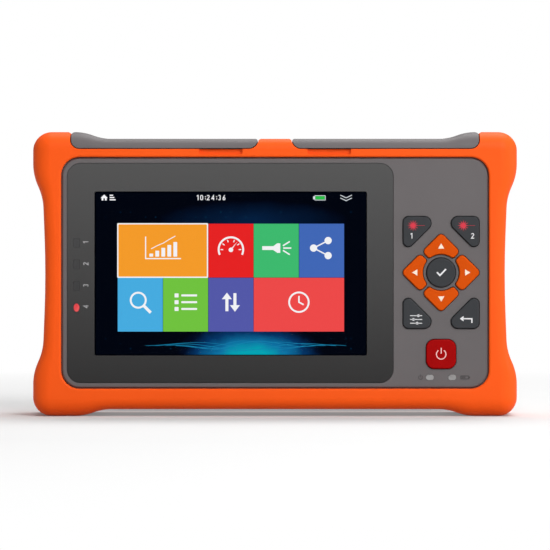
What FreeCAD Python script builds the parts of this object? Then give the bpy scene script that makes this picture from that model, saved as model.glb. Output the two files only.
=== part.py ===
"""Hand-held optical time domain reflectometer in a bone-shaped rubber boot, in millimetres.

X runs across the face to the right, Y from the face to the back and Z up. The origin is the middle
of the footprint: the instrument stands on the two lower crests of its boot, with its face towards -Y.
"""

import FreeCAD, Part

import math
import os

Vector = FreeCAD.Vector

# ---------------------------------------------------------------- driving dimensions
# Screen, the dark frame round it and the field of keys beside it: these set the size of the face.
screen_width = 108.0
screen_height = 64.8
frame_left = 11.15
frame_right = 10.75
frame_bottom = 11.15
frame_top = 11.5
frame_inset_side = 2.45
frame_inset_bottom = 2.35
frame_inset_top = 2.5
keypad_width = 38.15

# Rubber boot: its walls round the face, and the crests that stand out at its corners.
boot_depth = 46.0
side_wall = 11.55
bottom_wall = 11.1
top_wall = 10.2
side_crest_length = 17.3
side_slope_length = 8.8
side_slope_depth = 4.1
waist_sag = 1.2
waist_radius = 390.0
top_crest_length = 20.5
top_slope_length = 7.3
top_slope_depth = 2.8
slope_share = 0.98
boot_corner_radius = 7.5
flat_edge_radius = 4.6
crest_edge_radius = 7.0

# Windows in the face and the back of the boot, and the lip round them.
window_radius = 7.4
lip_thickness = 2.4
lip_cover = 2.75
lip_cover_top = 1.4
lip_rounding = 0.8
boot_clearance = 0.1

# Port flaps in the top of the boot.
ledge_depth = 7.0
flap_outer_inset = 15.15
flap_inner_end = 6.55
flap_outer_radius = 3.4
flap_inner_radius = 3.6
flap_outer_top_radius = 1.5
flap_inner_top_radius = 1.0
flap_side_radius = 1.2
flap_gap = 0.35
flap_seat_gap = 0.3
flap_skin = 2.4
flap_lip_height = 1.0
flap_lip_width = 1.4
flap_lip_gap = 0.6
flap_slope_shift = 2.0
recess_rounding = 1.2
brink_lift = 0.02
notch_middle = 21.6
notch_width = 17.3
notch_height = 2.25
notch_depth = 1.7
notch_radius = 1.1

# Flap hinges: a lug on the case stands through the boot and carries a steel pin.
hinge_inset = 1.95
hinge_pin_radius = 0.8
hinge_pin_length = 26.0
hinge_running_gap = 0.06
hinge_press_gap = 0.01
lug_half_width = 4.0
lug_radius = 1.5
lug_gap = 0.4

# Case: front and rear shells.
wall = 2.2
window_gap = 0.35
plateau_recess = 1.2
plateau_rounding = 0.8
face_wall = 2.8
seam_depth = 7.8
case_radius = 10.0
seal_width = 1.0
seal_depth = 0.9

# Display stack behind the dark lens.
lens_radius = 5.4
lens_thickness = 0.8
lens_sink = 0.1
lens_gap = 0.15
window_margin = 0.3
panel_left_border = 4.5
panel_right_border = 8.2
panel_end_border = 5.5
panel_thickness = 3.0
panel_radius = 1.0
panel_gap = 0.3
gasket_thickness = 0.3
gasket_width = 1.6
touch_thickness = 1.2
bracket_thickness = 1.0
bracket_side_margin = 0.9
bracket_end_margin = 6.6
bracket_frame = 9.0
bracket_radius = 2.0
bracket_screw_x = 10.0
bracket_screw_z = 3.3
display_boss_radius = 2.6
standoff_length = 5.0
standoff_radius = 2.4
standoff_inset = 6.5
board_thickness = 1.6
board_margin = 4.0
board_part_rise = 2.4

# Function indicators at the left of the lens.
indicator_inset = 3.7
indicator_rise = 29.95
indicator_pitch = 8.6
indicator_count = 4
indicator_width = 2.5
indicator_height = 3.6
indicator_radius = 0.6
indicator_gap = 0.05
indicator_board_reach = 4.9
indicator_board_width = 7.2
indicator_board_end = 6.0
indicator_pad = 1.5
indicator_board_thickness = 1.0
led_size = 1.6
led_height = 0.6

# Keypad, set out round the middle of the round key.
pad_rise = 46.3
key_proud = 1.0
key_rounding = 0.5
key_gap = 0.25
key_flange = 0.45
key_flange_thickness = 0.8
key_flange_gap = 0.3
key_travel = 0.8
ok_radius = 5.8
arrow_tip = 15.85
arrow_tip_radius = 1.7
arrow_inner_radius = 7.3
arrow_half_gap = 0.6
arrow_corner_radius = 1.7
arrow_inner_corner_radius = 1.1
corner_key_outer = 15.15
corner_key_top = 22.3
corner_key_slope = 22.5
corner_key_radius = 2.2
corner_key_top_point = 2.7
corner_key_side_point = 2.1
power_rise = 13.8
power_width = 11.8
power_height = 11.6
power_radius = 3.2
mat_thickness = 1.2
mat_clearance = 0.3
mat_margin = 1.0
dome_radius = 3.0
dome_height = 0.4
arrow_dome_offset = 10.6
corner_dome_x = 10.3
corner_dome_z = 17.4
mat_radius = 2.0
key_board_left_reach = 16.4
key_board_right_reach = 18.0
key_board_low_end = 8.0
key_board_high_end = 2.6
key_board_radius = 1.0
key_tongue_half_width = 9.0
key_tongue_end = 3.0
key_post_radius = 1.9
key_post_inset = 3.2
key_post_low_gap = 5.1
key_post_high_gap = 4.0

# Status lights under the power key.
status_rise = 4.5
status_spread = 4.45
status_width = 3.1
status_height = 2.2
status_proud = 0.1

# Port bays under the flaps.
bay_inner_x = 14.0
bay_outer_inset = 24.8
bay_screw_gap = 1.2
bay_back_margin = 6.1
bay_depth_below_ledge = 10.6
bay_wall = 1.5
bay_radius = 3.0
bay_gap = 0.15
bay_flange = 1.8
bay_flange_thickness = 1.4

# Optical adapters: test port, power meter and fault locator.
test_port_inset = 12.0
locator_port_inset = 11.0
ferrule_radius = 1.25
sleeve_radius = 1.6
sleeve_sink = 0.6
fc_thread_radius = 4.0
fc_barrel_height = 7.0
fc_bore_radius = 3.0
fc_flange_size = 13.0
fc_flange_thickness = 1.6
fc_flange_radius = 1.5
fc_key_width = 2.1
fc_key_depth = 1.2
fc_screw_offset = 4.9
fc_screw_radius = 0.8
fc_head_radius = 1.425
fc_head_height = 0.9
meter_radius = 5.0
meter_height = 6.2
meter_collar_radius = 6.2
meter_collar_height = 1.8
locator_collar_radius = 5.5
meter_bore_radius = 3.4
detector_radius = 2.7
detector_can_radius = 2.3
detector_height = 2.5
detector_flange = 0.5
locator_radius = 4.0
locator_height = 6.8
locator_bore_radius = 2.8
port_socket_floor = 1.2
port_tail_radius = 3.0
port_tail_length = 7.5
port_nut_radius = 5.4
port_nut_thickness = 2.0
pigtail_radius = 0.9

# Data and power sockets.
lan_inset = 12.0
lan_width = 16.0
lan_depth = 13.4
lan_mouth_width = 11.9
lan_mouth_height = 7.1
lan_latch_width = 6.2
lan_latch_height = 3.0
lan_mouth_length = 11.5
lan_contact_count = 8
lan_contact_pitch = 1.02
lan_contact_size = 0.4
usb_width = 13.1
usb_depth = 5.8
usb_shell = 0.35
usb_tongue_width = 11.1
usb_tongue_thickness = 1.84
usb_cavity = 9.0
charge_inset = 9.0
charge_body = 9.0
charge_bore_radius = 3.15
charge_pin_radius = 1.0
charge_pin_sink = 0.8
charge_depth = 9.5
socket_rise = 2.6
socket_length = 14.4
socket_gap = 0.1
port_board_margin = 1.4
port_post_radius = 2.0
port_post_inset = 2.5
port_post_inner_shift = 0.3
port_post_outer_shift = 0.8

# Kickstand in the back, hinged at its top.
stand_side_gap = 3.8
stand_top_margin = 13.4
stand_bottom_margin = 10.9
stand_thickness = 3.2
stand_gap = 0.4
stand_sink = 0.2
stand_frame = 11.0
stand_foot_share = 1.6
stand_window_radius = 5.0
stand_corner_radius = 6.0
stand_pin_radius = 0.8
stand_pin_bite = 5.0
stand_pin_reach = 2.0
stand_wall = 3.5
scoop_width = 22.0
scoop_height = 8.0
scoop_depth = 5.4
scoop_radius = 2.5

# Battery bay in the back.
battery_side_margin = 9.05
battery_bottom_margin = 8.7
battery_headroom = 8.4
battery_width = 37.0
battery_depth = 18.0
battery_cover_gap = 1.0
battery_radius = 8.0
battery_gap = 0.5
battery_wall = 1.5
cover_side_margin = 3.2
cover_end_margin = 6.0
cover_thickness = 2.2
cover_gap = 0.2
cover_radius = 4.0
pack_edge = 0.9
contact_inset = 8.0
contact_count = 3
contact_pitch = 6.0
contact_width = 2.5
contact_thickness = 0.4

# Screws, and the columns that take them.
screw_side_inset = 4.75
screw_end_inset = 5.9
screw_radius = 1.5
screw_hole_gap = 0.2
screw_head_radius = 2.7
screw_head_height = 2.0
screw_seat_y = -4.0
screw_bite = 4.0
column_radius = 4.4
boss_radius = 3.2
driver_radius = 3.0
small_screw_radius = 1.0
small_head_radius = 1.9
small_head_height = 1.2
small_screw_length = 4.6
small_pilot_depth = 3.9
small_hole_gap = 0.1
head_hole_gap = 0.2
cover_head_sink = 0.1
screw_tip_gap = 0.3
module_post_wall = 0.6
slot_width = 0.6
slot_depth = 0.6

# Optical module and fibre spool.
module_side_margin = 3.25
module_width = 40.0
module_bottom_margin = 12.9
module_headroom = 14.0
module_front_y = -4.0
module_back_y = 13.0
module_radius = 2.0
module_ear_x = 10.0
module_ear = 5.0
module_ear_thickness = 1.6
spool_rest = 1.0
spool_radius = 27.0
spool_hub_radius = 19.0
spool_hub_wall = 1.5
spool_flange = 1.2
spool_width = 9.0
coil_thickness = 4.5

# ---------------------------------------------------------------- derived places
window_half_width = (frame_inset_side + frame_left + screen_width + frame_right + keypad_width) / 2
window_bottom = bottom_wall
window_top = (window_bottom + frame_inset_bottom + frame_bottom + screen_height + frame_top
              + frame_inset_top)
crest_half_width = window_half_width + side_wall
crest_half_height = (window_top + top_wall) / 2
flat_half_height = crest_half_height - top_slope_depth
waist_end_half_width = crest_half_width - side_slope_depth
waist_middle_half_width = waist_end_half_width - waist_sag
side_crest_start = crest_half_height - side_crest_length
waist_end = side_crest_start - side_slope_length
top_crest_start = crest_half_width - top_crest_length
top_flat_end = top_crest_start - top_slope_length
middle_z = crest_half_height
ledge_height = middle_z + crest_half_height - ledge_depth
flap_outer_end = crest_half_width - flap_outer_inset
boot_front = -boot_depth / 2
boot_back = boot_depth / 2
case_front = boot_front + lip_thickness
case_back = boot_back - lip_thickness
seam_y = boot_front + seam_depth
face_y = boot_front + plateau_recess
back_face_y = boot_back - plateau_recess
front_inner_y = face_y + face_wall
back_inner_y = back_face_y - face_wall
case_half_width = window_half_width + lip_cover
case_bottom = window_bottom - lip_cover
case_top = window_top + lip_cover_top
lens_left = -window_half_width + frame_inset_side
lens_right = lens_left + frame_left + screen_width + frame_right
lens_bottom = window_bottom + frame_inset_bottom
lens_top = window_top - frame_inset_top
screen_middle_x = lens_left + frame_left + screen_width / 2
screen_middle_z = lens_bottom + frame_bottom + screen_height / 2
panel_width = panel_left_border + screen_width + panel_right_border
panel_height = screen_height + 2 * panel_end_border
lens_front_y = face_y + lens_sink
lens_back_y = lens_front_y + lens_thickness
touch_front_y = lens_back_y + gasket_thickness
touch_back_y = touch_front_y + touch_thickness
panel_back_y = touch_back_y + panel_thickness
panel_middle_x = screen_middle_x - screen_width / 2 - panel_left_border + panel_width / 2
bracket_back_y = panel_back_y + bracket_thickness
bracket_half_width = panel_width / 2 + bracket_side_margin
bracket_half_height = panel_height / 2 + bracket_end_margin
main_board_y = bracket_back_y + standoff_length
main_board_back_y = main_board_y + board_thickness
main_board_half_width = bracket_half_width - board_margin
main_board_half_height = panel_height / 2 - board_margin / 4
screw_x = window_half_width - screw_side_inset
screw_bottom_z = window_bottom + screw_end_inset
screw_top_z = window_top - screw_end_inset
pad_x = lens_right + keypad_width / 2
pad_z = window_bottom + pad_rise
power_z = window_bottom + power_rise
status_z = window_bottom + status_rise
key_flange_y = front_inner_y + key_flange_gap
key_back_y = key_flange_y + key_flange_thickness
mat_y = key_back_y + key_travel + mat_clearance
dome_y = mat_y + mat_thickness
key_board_y = dome_y + dome_height
key_board_back_y = key_board_y + board_thickness
key_board_left = pad_x - key_board_left_reach
key_board_right = pad_x + key_board_right_reach
key_post_low_z = pad_z - corner_key_top - key_post_low_gap
key_post_high_z = pad_z + corner_key_top + key_post_high_gap
key_board_bottom = key_post_low_z - key_board_low_end
key_board_top = key_post_high_z + key_board_high_end
key_tongue_bottom = status_z - key_tongue_end
bay_outer_x = crest_half_width - bay_outer_inset
bay_front_y = bracket_back_y + small_head_height + bay_screw_gap + bay_wall
bay_back_y = case_back - bay_back_margin
bay_floor_z = ledge_height - bay_depth_below_ledge
bay_middle_x = (bay_inner_x + bay_outer_x) / 2
bay_middle_y = (bay_front_y + bay_back_y) / 2
bay_width = bay_outer_x - bay_inner_x
bay_depth = bay_back_y - bay_front_y
bay_underside_z = bay_floor_z - bay_wall
socket_top_z = bay_floor_z + socket_rise
port_board_z = socket_top_z - socket_length
port_nut_z = bay_underside_z - port_nut_thickness
test_port_x = -(bay_outer_x - test_port_inset)
locator_port_x = -(bay_inner_x + locator_port_inset)
meter_port_x = (test_port_x + locator_port_x) / 2
lan_x = bay_outer_x - lan_inset
charge_x = bay_inner_x + charge_inset
usb_x = (charge_x + charge_body / 2 + lan_x - lan_width / 2) / 2
battery_x = window_half_width - battery_side_margin - cover_side_margin - battery_gap - battery_width / 2
cover_left = battery_x - battery_width / 2 - battery_gap - cover_side_margin
stand_width = 2 * (cover_left - stand_side_gap)
stand_top_z = window_top - stand_top_margin
stand_bottom_z = window_bottom + stand_bottom_margin
stand_y = back_face_y - stand_sink - stand_thickness / 2
stand_pocket_y = stand_y - stand_thickness / 2 - stand_gap
stand_hinge_z = stand_top_z - stand_thickness / 2
battery_bottom = window_bottom + battery_bottom_margin
battery_top = port_board_z - battery_headroom
cover_y = back_face_y - cover_thickness
battery_back_y = cover_y - battery_cover_gap
battery_front_y = battery_back_y - battery_depth
hinge_x = flap_outer_end - flap_gap - hinge_inset
hinge_z = middle_z + crest_half_height - hinge_inset
hinge_y = bay_middle_y
flap_bottom_z = ledge_height + flap_seat_gap
indicator_x = lens_left + indicator_inset
indicator_first_z = lens_bottom + indicator_rise
indicator_middle_z = indicator_first_z + indicator_pitch * (indicator_count - 1) / 2
indicator_board_y = front_inner_y + led_height
indicator_board_left = indicator_x - indicator_board_reach
indicator_board_right = indicator_board_left + indicator_board_width
module_left = -window_half_width + module_side_margin
module_right = module_left + module_width
module_bottom = window_bottom + module_bottom_margin
module_top = bay_floor_z - module_headroom
spool_back_y = stand_pocket_y - wall
spool_x = (module_right + battery_x - battery_width / 2 - battery_gap - battery_wall) / 2
spool_z = stand_bottom_z + spool_radius + spool_rest


# ---------------------------------------------------------------- shapes
def across(y):
    """Places a drawn point (u, v) in the upright plane at that depth."""
    return lambda u, v: Vector(u, y, v)


def level(z):
    """Places a drawn point (u, v) in the level plane at that height."""
    return lambda u, v: Vector(u, v, z)


def rounded_wire(corners, place):
    """Closed wire through the corners (u, v, radius), with tangent arcs at the corners."""
    spans = []
    for i, (u, v, radius) in enumerate(corners):
        here = Vector(u, v, 0)
        to_last = (Vector(*corners[i - 1][:2], 0) - here).normalize()
        to_next = (Vector(*corners[(i + 1) % len(corners)][:2], 0) - here).normalize()
        half = to_last.getAngle(to_next) / 2
        reach = radius / math.tan(half)
        centre = here + (to_last + to_next).normalize() * (radius / math.sin(half)) if radius else here
        middle = centre + (here - centre).normalize() * radius if radius else here
        spans.append((here + to_last * reach, middle, here + to_next * reach, radius))
    edges = []
    for i, (start, middle, end, radius) in enumerate(spans):
        points = [place(p.x, p.y) for p in (start, middle, end)]
        if radius:
            edges.append(Part.Arc(*points).toShape())
        following = spans[(i + 1) % len(spans)][0]
        if (following - end).Length > 1e-4:
            edges.append(Part.LineSegment(points[2], place(following.x, following.y)).toShape())
    return Part.Wire(edges)


def rectangle(low_u, low_v, high_u, high_v, radius=0.0):
    """Corners of an upright rectangle with round corners."""
    return [(low_u, low_v, radius), (high_u, low_v, radius), (high_u, high_v, radius), (low_u, high_v, radius)]


def centred(u, v, width, height, radius=0.0):
    """Corners of a rectangle about its middle."""
    return rectangle(u - width / 2, v - height / 2, u + width / 2, v + height / 2, radius)


def plate(corners, front, back):
    """Solid with that outline in the upright plane, from one depth to another."""
    return Part.Face(rounded_wire(corners, across(front))).extrude(Vector(0, back - front, 0))


def column(corners, bottom, top):
    """Solid with that outline in the level plane, from one height to another."""
    return Part.Face(rounded_wire(corners, level(bottom))).extrude(Vector(0, 0, top - bottom))


def rod_x(y, z, radius, left, right):
    return Part.makeCylinder(radius, right - left, Vector(left, y, z), Vector(1, 0, 0))


def rod_y(x, z, radius, front, back):
    return Part.makeCylinder(radius, back - front, Vector(x, front, z), Vector(0, 1, 0))


def rod_z(x, y, radius, bottom, top):
    return Part.makeCylinder(radius, top - bottom, Vector(x, y, bottom), Vector(0, 0, 1))


def block(left, right, front, back, bottom, top):
    return Part.makeBox(right - left, back - front, top - bottom, Vector(left, front, bottom))


def joined(shapes):
    """One solid from touching or crossing shapes."""
    result = shapes[0].fuse(shapes[1:]) if len(shapes) > 1 else shapes[0]
    return result.removeSplitter()


def mirrored_x(shape):
    return shape.mirror(Vector(0, 0, 0), Vector(1, 0, 0))


def edges_at(shape, test):
    """The shape's edges whose every end and middle passes the test."""
    found = []
    for edge in shape.Edges:
        middle = edge.valueAt((edge.FirstParameter + edge.LastParameter) / 2)
        if all(test(p) for p in [middle] + [v.Point for v in edge.Vertexes]):
            found.append(edge)
    return found


def near(a, b):
    return abs(a - b) < 1e-3


def rounded_front(shape, y, radius):
    """Rounds every edge that lies in the plane at that depth."""
    return shape.makeFillet(radius, edges_at(shape, lambda p: near(p.y, y)))


# ---------------------------------------------------------------- outlines
def slope_radius(length, depth):
    """Radius of the two tangent arcs that take up most of a slope between a flat and a crest."""
    return slope_share * math.hypot(length, depth) / 2 / math.tan(math.atan2(depth, length) / 2)


def boot_outline():
    """Bone-shaped outline, counter-clockwise from the middle of the right waist."""
    side_radius = slope_radius(side_slope_length, side_slope_depth)
    top_radius = slope_radius(top_slope_length, top_slope_depth)
    upper_right = [
        (waist_end_half_width, waist_end, side_radius),
        (crest_half_width, side_crest_start, side_radius),
        (crest_half_width, crest_half_height, boot_corner_radius),
        (top_crest_start, crest_half_height, top_radius),
        (top_flat_end, flat_half_height, top_radius),
    ]
    waist = (waist_middle_half_width, 0, waist_radius)
    upper_left = [(-x, z, r) for x, z, r in reversed(upper_right)]
    right = [waist] + upper_right + upper_left
    left = [(-x, -z, r) for x, z, r in right]
    return [(x, middle_z + z, r) for x, z, r in right + left]


def case_outline(inset=0.0):
    """Outline of the case inside the boot, drawn in by the inset."""
    half = case_half_width - inset
    return rectangle(-half, case_bottom + inset, half, case_top - inset, max(case_radius - inset, 0.5))


def window_outline(inset=0.0):
    """Outline of the boot's front and back windows, drawn in by the inset."""
    half = window_half_width - inset
    return rectangle(-half, window_bottom + inset, half, window_top - inset, window_radius - inset)


def lens_outline(grow=0.0):
    return rectangle(lens_left - grow, lens_bottom - grow, lens_right + grow, lens_top + grow, lens_radius + grow)


def panel_outline(grow=0.0):
    return centred(panel_middle_x, screen_middle_z, panel_width + 2 * grow, panel_height + 2 * grow,
                   panel_radius + max(grow, 0))


def indicator_outlines(grow=0.0):
    """One small window for each function indicator."""
    return [centred(indicator_x, indicator_first_z + indicator_pitch * i, indicator_width + 2 * grow,
                    indicator_height + 2 * grow, indicator_radius) for i in range(indicator_count)]


def bay_outline(grow=0.0):
    return centred(bay_middle_x, bay_middle_y, bay_width + 2 * grow, bay_depth + 2 * grow, bay_radius + grow)


def cover_outline(grow=0.0):
    """Outline of the battery cover."""
    half = battery_width / 2 + battery_gap + cover_side_margin + grow
    end = battery_gap + cover_end_margin + grow
    return rectangle(battery_x - half, battery_bottom - end, battery_x + half, battery_top + end,
                     cover_radius + grow)


def stand_outline(grow=0.0):
    """Outline of the closed kickstand; its top corners are square, because it turns about them."""
    half = stand_width / 2 + grow
    low = stand_corner_radius + grow
    return [(-half, stand_bottom_z - grow, low), (half, stand_bottom_z - grow, low),
            (half, stand_top_z + grow, 0), (-half, stand_top_z + grow, 0)]


# ---------------------------------------------------------------- rubber boot and port flaps
def edge_radius(point):
    """Rounding of the boot's edge there: small along the flats and waists, larger on the crests."""
    up_side = (abs(point.z - middle_z) - waist_end) / side_slope_length
    along_top = (abs(point.x) - top_flat_end) / top_slope_length
    share = min(max(up_side, 0), 1) * min(max(along_top, 0), 1)
    return flat_edge_radius + (crest_edge_radius - flat_edge_radius) * share


def boot_blank():
    """The boot's outer form, with nothing cut out of it; its rounding grows on to the crests."""
    work = FreeCAD.newDocument("boot")
    blank = work.addObject("Part::Feature", "blank")
    blank.Shape = plate(boot_outline(), boot_front, boot_back)
    rounding = work.addObject("Part::Fillet", "rounding")
    rounding.Base = blank
    radii = []
    for number, edge in enumerate(blank.Shape.Edges, 1):
        start, end = edge.valueAt(edge.FirstParameter), edge.valueAt(edge.LastParameter)
        if near(start.y, end.y):
            radii.append((number, edge_radius(start), edge_radius(end)))
    rounding.Edges = radii
    work.recompute()
    return rounding.Shape


def flap_outline():
    """Front view of the right flap, before the boot's top surface cuts it to height."""
    inner, outer = flap_inner_end + flap_gap, flap_outer_end - flap_gap
    high = middle_z + crest_half_height + wall
    return [(inner, flap_bottom_z, flap_inner_radius), (outer, flap_bottom_z, flap_outer_radius),
            (outer, high, 0), (inner, high, 0)]


def recess_outline():
    """Front view of the recess that the flap lies in, with rounded brinks at both ends."""
    brink = recess_rounding
    top = middle_z + crest_half_height + brink_lift
    flat_top = middle_z + flat_half_height + brink_lift
    return [(flap_inner_end, ledge_height, flap_inner_radius + flap_gap),
            (flap_outer_end, ledge_height, flap_outer_radius + flap_gap),
            (flap_outer_end, top, brink), (flap_outer_end + 2 * brink, top, 0),
            (flap_outer_end + 2 * brink, top + brink, 0), (flap_inner_end - 2 * brink, top + brink, 0),
            (flap_inner_end - 2 * brink, flat_top, 0), (flap_inner_end, flat_top, brink)]


def port_flap(blank):
    """Right flap: the boot's own top surface over a thin skin, with a lip that plugs the port bay."""
    outer, inner = flap_outer_end - flap_gap, flap_inner_end + flap_gap
    edge = flap_side_radius
    flap = plate(flap_outline(), boot_front, boot_back).common(blank)
    # Round the top of both ends, and draw the ends' upright corners in.
    top = middle_z + crest_half_height - 0.05
    ends = rectangle(inner, ledge_height - 5, outer, top, 0)
    ends[2] = (outer, top, flap_outer_top_radius)
    ends[3] = (inner, middle_z + flat_half_height, flap_inner_top_radius)
    ends.insert(3, (top_flat_end - flap_slope_shift, middle_z + flat_half_height, 0))
    ends.insert(3, (top_crest_start - flap_slope_shift, top, 0))
    flap = flap.common(plate(ends, boot_front, boot_back))
    corners = centred((outer + inner) / 2, 0, outer - inner, boot_depth, edge)
    flap = flap.common(column(corners, ledge_height - 5, top + 5))
    lip_grow = -flap_lip_gap
    lip = column(bay_outline(lip_grow), ledge_height - flap_lip_height, flap_bottom_z + flap_skin / 2)
    hollow_top = middle_z + flat_half_height - flap_skin
    hollow = column(bay_outline(lip_grow - flap_lip_width), ledge_height - flap_lip_height - 1, hollow_top)
    flap = flap.fuse(lip).cut(hollow)
    slot = block(hinge_x - lug_radius - lug_gap, outer + 1, hinge_y - lug_half_width - lug_gap,
                 hinge_y + lug_half_width + lug_gap, ledge_height - 5, top + 5)
    hole = rod_y(hinge_x, hinge_z, hinge_pin_radius + hinge_running_gap, hinge_y - hinge_pin_length / 2 - lug_gap,
                 hinge_y + hinge_pin_length / 2 + lug_gap)
    return joined([flap.cut([slot, hole])])


def hinge_lug(gap=0.0):
    """Lug of the right flap; with a gap, the passage for it through the boot."""
    radius = lug_radius + gap
    half = lug_half_width + gap
    post = block(hinge_x - radius, hinge_x + radius, hinge_y - half, hinge_y + half, case_top - wall / 2, hinge_z)
    knuckle = rod_y(hinge_x, hinge_z, radius, hinge_y - half, hinge_y + half)
    if gap:
        return post
    hole = rod_y(hinge_x, hinge_z, hinge_pin_radius + hinge_press_gap, hinge_y - half - 1, hinge_y + half + 1)
    return post.fuse(knuckle).cut(hole)


def thumb_notch():
    """Notch in the boot's face under the right flap, for a finger nail."""
    corners = rectangle(notch_middle - notch_width / 2, ledge_height - notch_height,
                        notch_middle + notch_width / 2, ledge_height + 1, notch_radius)
    return plate(corners, boot_front - 1, boot_front + notch_depth)


def rubber_boot(blank):
    window = plate(window_outline(), boot_front - 1, boot_back + 1)
    cavity = plate(case_outline(-boot_clearance), case_front, case_back)
    boot = blank.cut(window)
    rims = edges_at(boot, lambda p: near(abs(p.y), boot_back) and abs(p.x) < window_half_width + 0.01
                    and window_bottom - 0.01 < p.z < window_top + 0.01)
    boot = boot.makeFillet(lip_rounding, rims).cut(cavity)
    cuts = []
    for side in (plate(recess_outline(), boot_front - 1, boot_back + 1), thumb_notch(),
                 column(bay_outline(), case_top - 1, ledge_height + 1), hinge_lug(boot_clearance)):
        cuts += [side, mirrored_x(side)]
    return joined([boot.cut(cuts)])


# ---------------------------------------------------------------- screws
def screw(x, seat, z, shank_radius, head_radius, head_height, length, towards=-1):
    """Slotted screw along Y with its head's seat at that depth; towards says which way it bites."""
    ends = sorted((seat, seat + towards * length))
    top = seat - towards * head_height
    size = head_radius / small_head_radius
    slot = sorted((top + towards * slot_depth * size, top - towards))
    body = rod_y(x, z, shank_radius, *ends).fuse(rod_y(x, z, head_radius, *sorted((seat, top))))
    half = slot_width * size / 2
    return joined([body.cut(block(x - head_radius - 1, x + head_radius + 1, *slot, z - half, z + half))])


def inner_screws():
    """All the small screws inside: bracket, boards and optical module."""
    return (small_screws(bracket_screw_places(), bracket_back_y)
            + small_screws(standoff_places(), main_board_back_y)
            + small_screws(key_post_places(), key_board_back_y)
            + small_screws(module_screw_places(), module_back_y - module_ear_thickness, 1)
            + port_board_screws())


def screw_places():
    return [(sx * screw_x, z) for sx in (-1, 1) for z in (screw_bottom_z, screw_top_z)]


def cover_screw_places():
    end = battery_gap + cover_end_margin / 2
    return [(battery_x, battery_bottom - end), (battery_x, battery_top + end)]


def bracket_screw_places():
    return [(panel_middle_x + sx * (bracket_half_width - bracket_screw_x),
             screen_middle_z + sz * (bracket_half_height - bracket_screw_z)) for sx in (-1, 1) for sz in (-1, 1)]


def standoff_places():
    return [(panel_middle_x + sx * (bracket_half_width - bracket_screw_x - standoff_inset),
             screen_middle_z + sz * (panel_height / 2 - bracket_frame / 2)) for sx in (-1, 1) for sz in (-1, 1)]


def key_post_places():
    return [(x, z) for x in (key_board_left + key_post_inset, key_board_right - key_post_inset)
            for z in (key_post_low_z, key_post_high_z)]


def module_screw_places():
    return [(x, z) for x in (module_left + module_ear_x, module_right - module_ear_x)
            for z in (module_bottom - module_ear, module_top + module_ear)]


def case_screws():
    length = screw_seat_y - seam_y + screw_bite
    return [screw(x, screw_seat_y, z, screw_radius, screw_head_radius, screw_head_height, length)
            for x, z in screw_places()]


def small_screws(places, seat, towards=-1):
    return [screw(x, seat, z, small_screw_radius, small_head_radius, small_head_height, small_screw_length,
                  towards) for x, z in places]


# ---------------------------------------------------------------- keys
def ok_outline(grow=0.0):
    side = ok_radius + grow
    return rectangle(-side, -side, side, side, side)


def power_outline(grow=0.0):
    return centred(0, power_z - pad_z, power_width + 2 * grow, power_height + 2 * grow, power_radius + grow)


def corner_key_outline(sx, sz, grow=0.0):
    """Three-cornered key; the slope follows the diamond of arrow keys."""
    outer, top = corner_key_outer + grow, corner_key_top + grow
    slope = corner_key_slope - grow * math.sqrt(2)
    corners = [(outer, top, corner_key_radius + grow), (slope - top, top, corner_key_top_point + grow),
               (outer, slope - outer, corner_key_side_point + grow)]
    return [(sx * x, sz * z, r) for x, z, r in corners]


def arrow_outline(grow=0.0):
    """Quarter of the diamond, pointing up, before its inner side is rounded out."""
    tip = arrow_tip + grow * math.sqrt(2)
    gap = (arrow_half_gap - grow) * math.sqrt(2)
    side = (tip - gap) / 2
    return [(0, tip, arrow_tip_radius + grow), (side, side + gap, arrow_corner_radius + grow),
            (0, gap, 0), (-side, side + gap, arrow_corner_radius + grow)]


def key_prism(outline, front, back):
    return plate([(pad_x + u, pad_z + v, r) for u, v, r in outline], front, back)


def arrow_prism(turn, grow, front, back):
    """Arrow key's outline as a solid; a turn of 0 points up and of 90 to the left."""
    solid = key_prism(arrow_outline(grow), front, back)
    solid = solid.cut(rod_y(pad_x, pad_z, arrow_inner_radius - grow, front - 1, back + 1))
    corners = [e for e in edges_at(solid, lambda p: near(math.hypot(p.x - pad_x, p.z - pad_z),
                                                         arrow_inner_radius - grow))
               if isinstance(e.Curve, Part.Line)]
    solid = solid.makeFillet(arrow_inner_corner_radius, corners)
    solid.rotate(Vector(pad_x, 0, pad_z), Vector(0, -1, 0), turn)
    return solid


def flat_prism(outline):
    """A key's outline as a function of growth and of the two depths."""
    return lambda grow, front, back: key_prism(outline(grow), front, back)


def arrow(turn):
    return lambda grow, front, back: arrow_prism(turn, grow, front, back)


def corner_key(sx, sz):
    return flat_prism(lambda grow: corner_key_outline(sx, sz, grow))


# Each key: its node, its form, and where its dome lies from the middle of the pad.
KEYS = [
    ("key_ok", flat_prism(ok_outline), (0, 0)),
    ("key_up", arrow(0), (0, arrow_dome_offset)),
    ("key_left", arrow(90), (-arrow_dome_offset, 0)),
    ("key_down", arrow(180), (0, -arrow_dome_offset)),
    ("key_right", arrow(270), (arrow_dome_offset, 0)),
    ("key_laser_manual", corner_key(-1, 1), (-corner_dome_x, corner_dome_z)),
    ("key_laser_auto", corner_key(1, 1), (corner_dome_x, corner_dome_z)),
    ("key_setup", corner_key(-1, -1), (-corner_dome_x, -corner_dome_z)),
    ("key_escape", corner_key(1, -1), (corner_dome_x, -corner_dome_z)),
    ("key_power", flat_prism(power_outline), (0, power_z - pad_z)),
]


def key(prism):
    """Key cap with a rounded face, and the flange that keeps it behind the case's front wall."""
    front = face_y - key_proud
    cap = prism(0, front, key_back_y)
    cap = rounded_front(cap, front, key_rounding)
    return joined([cap.fuse(prism(key_flange, key_flange_y, key_back_y))])


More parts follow.
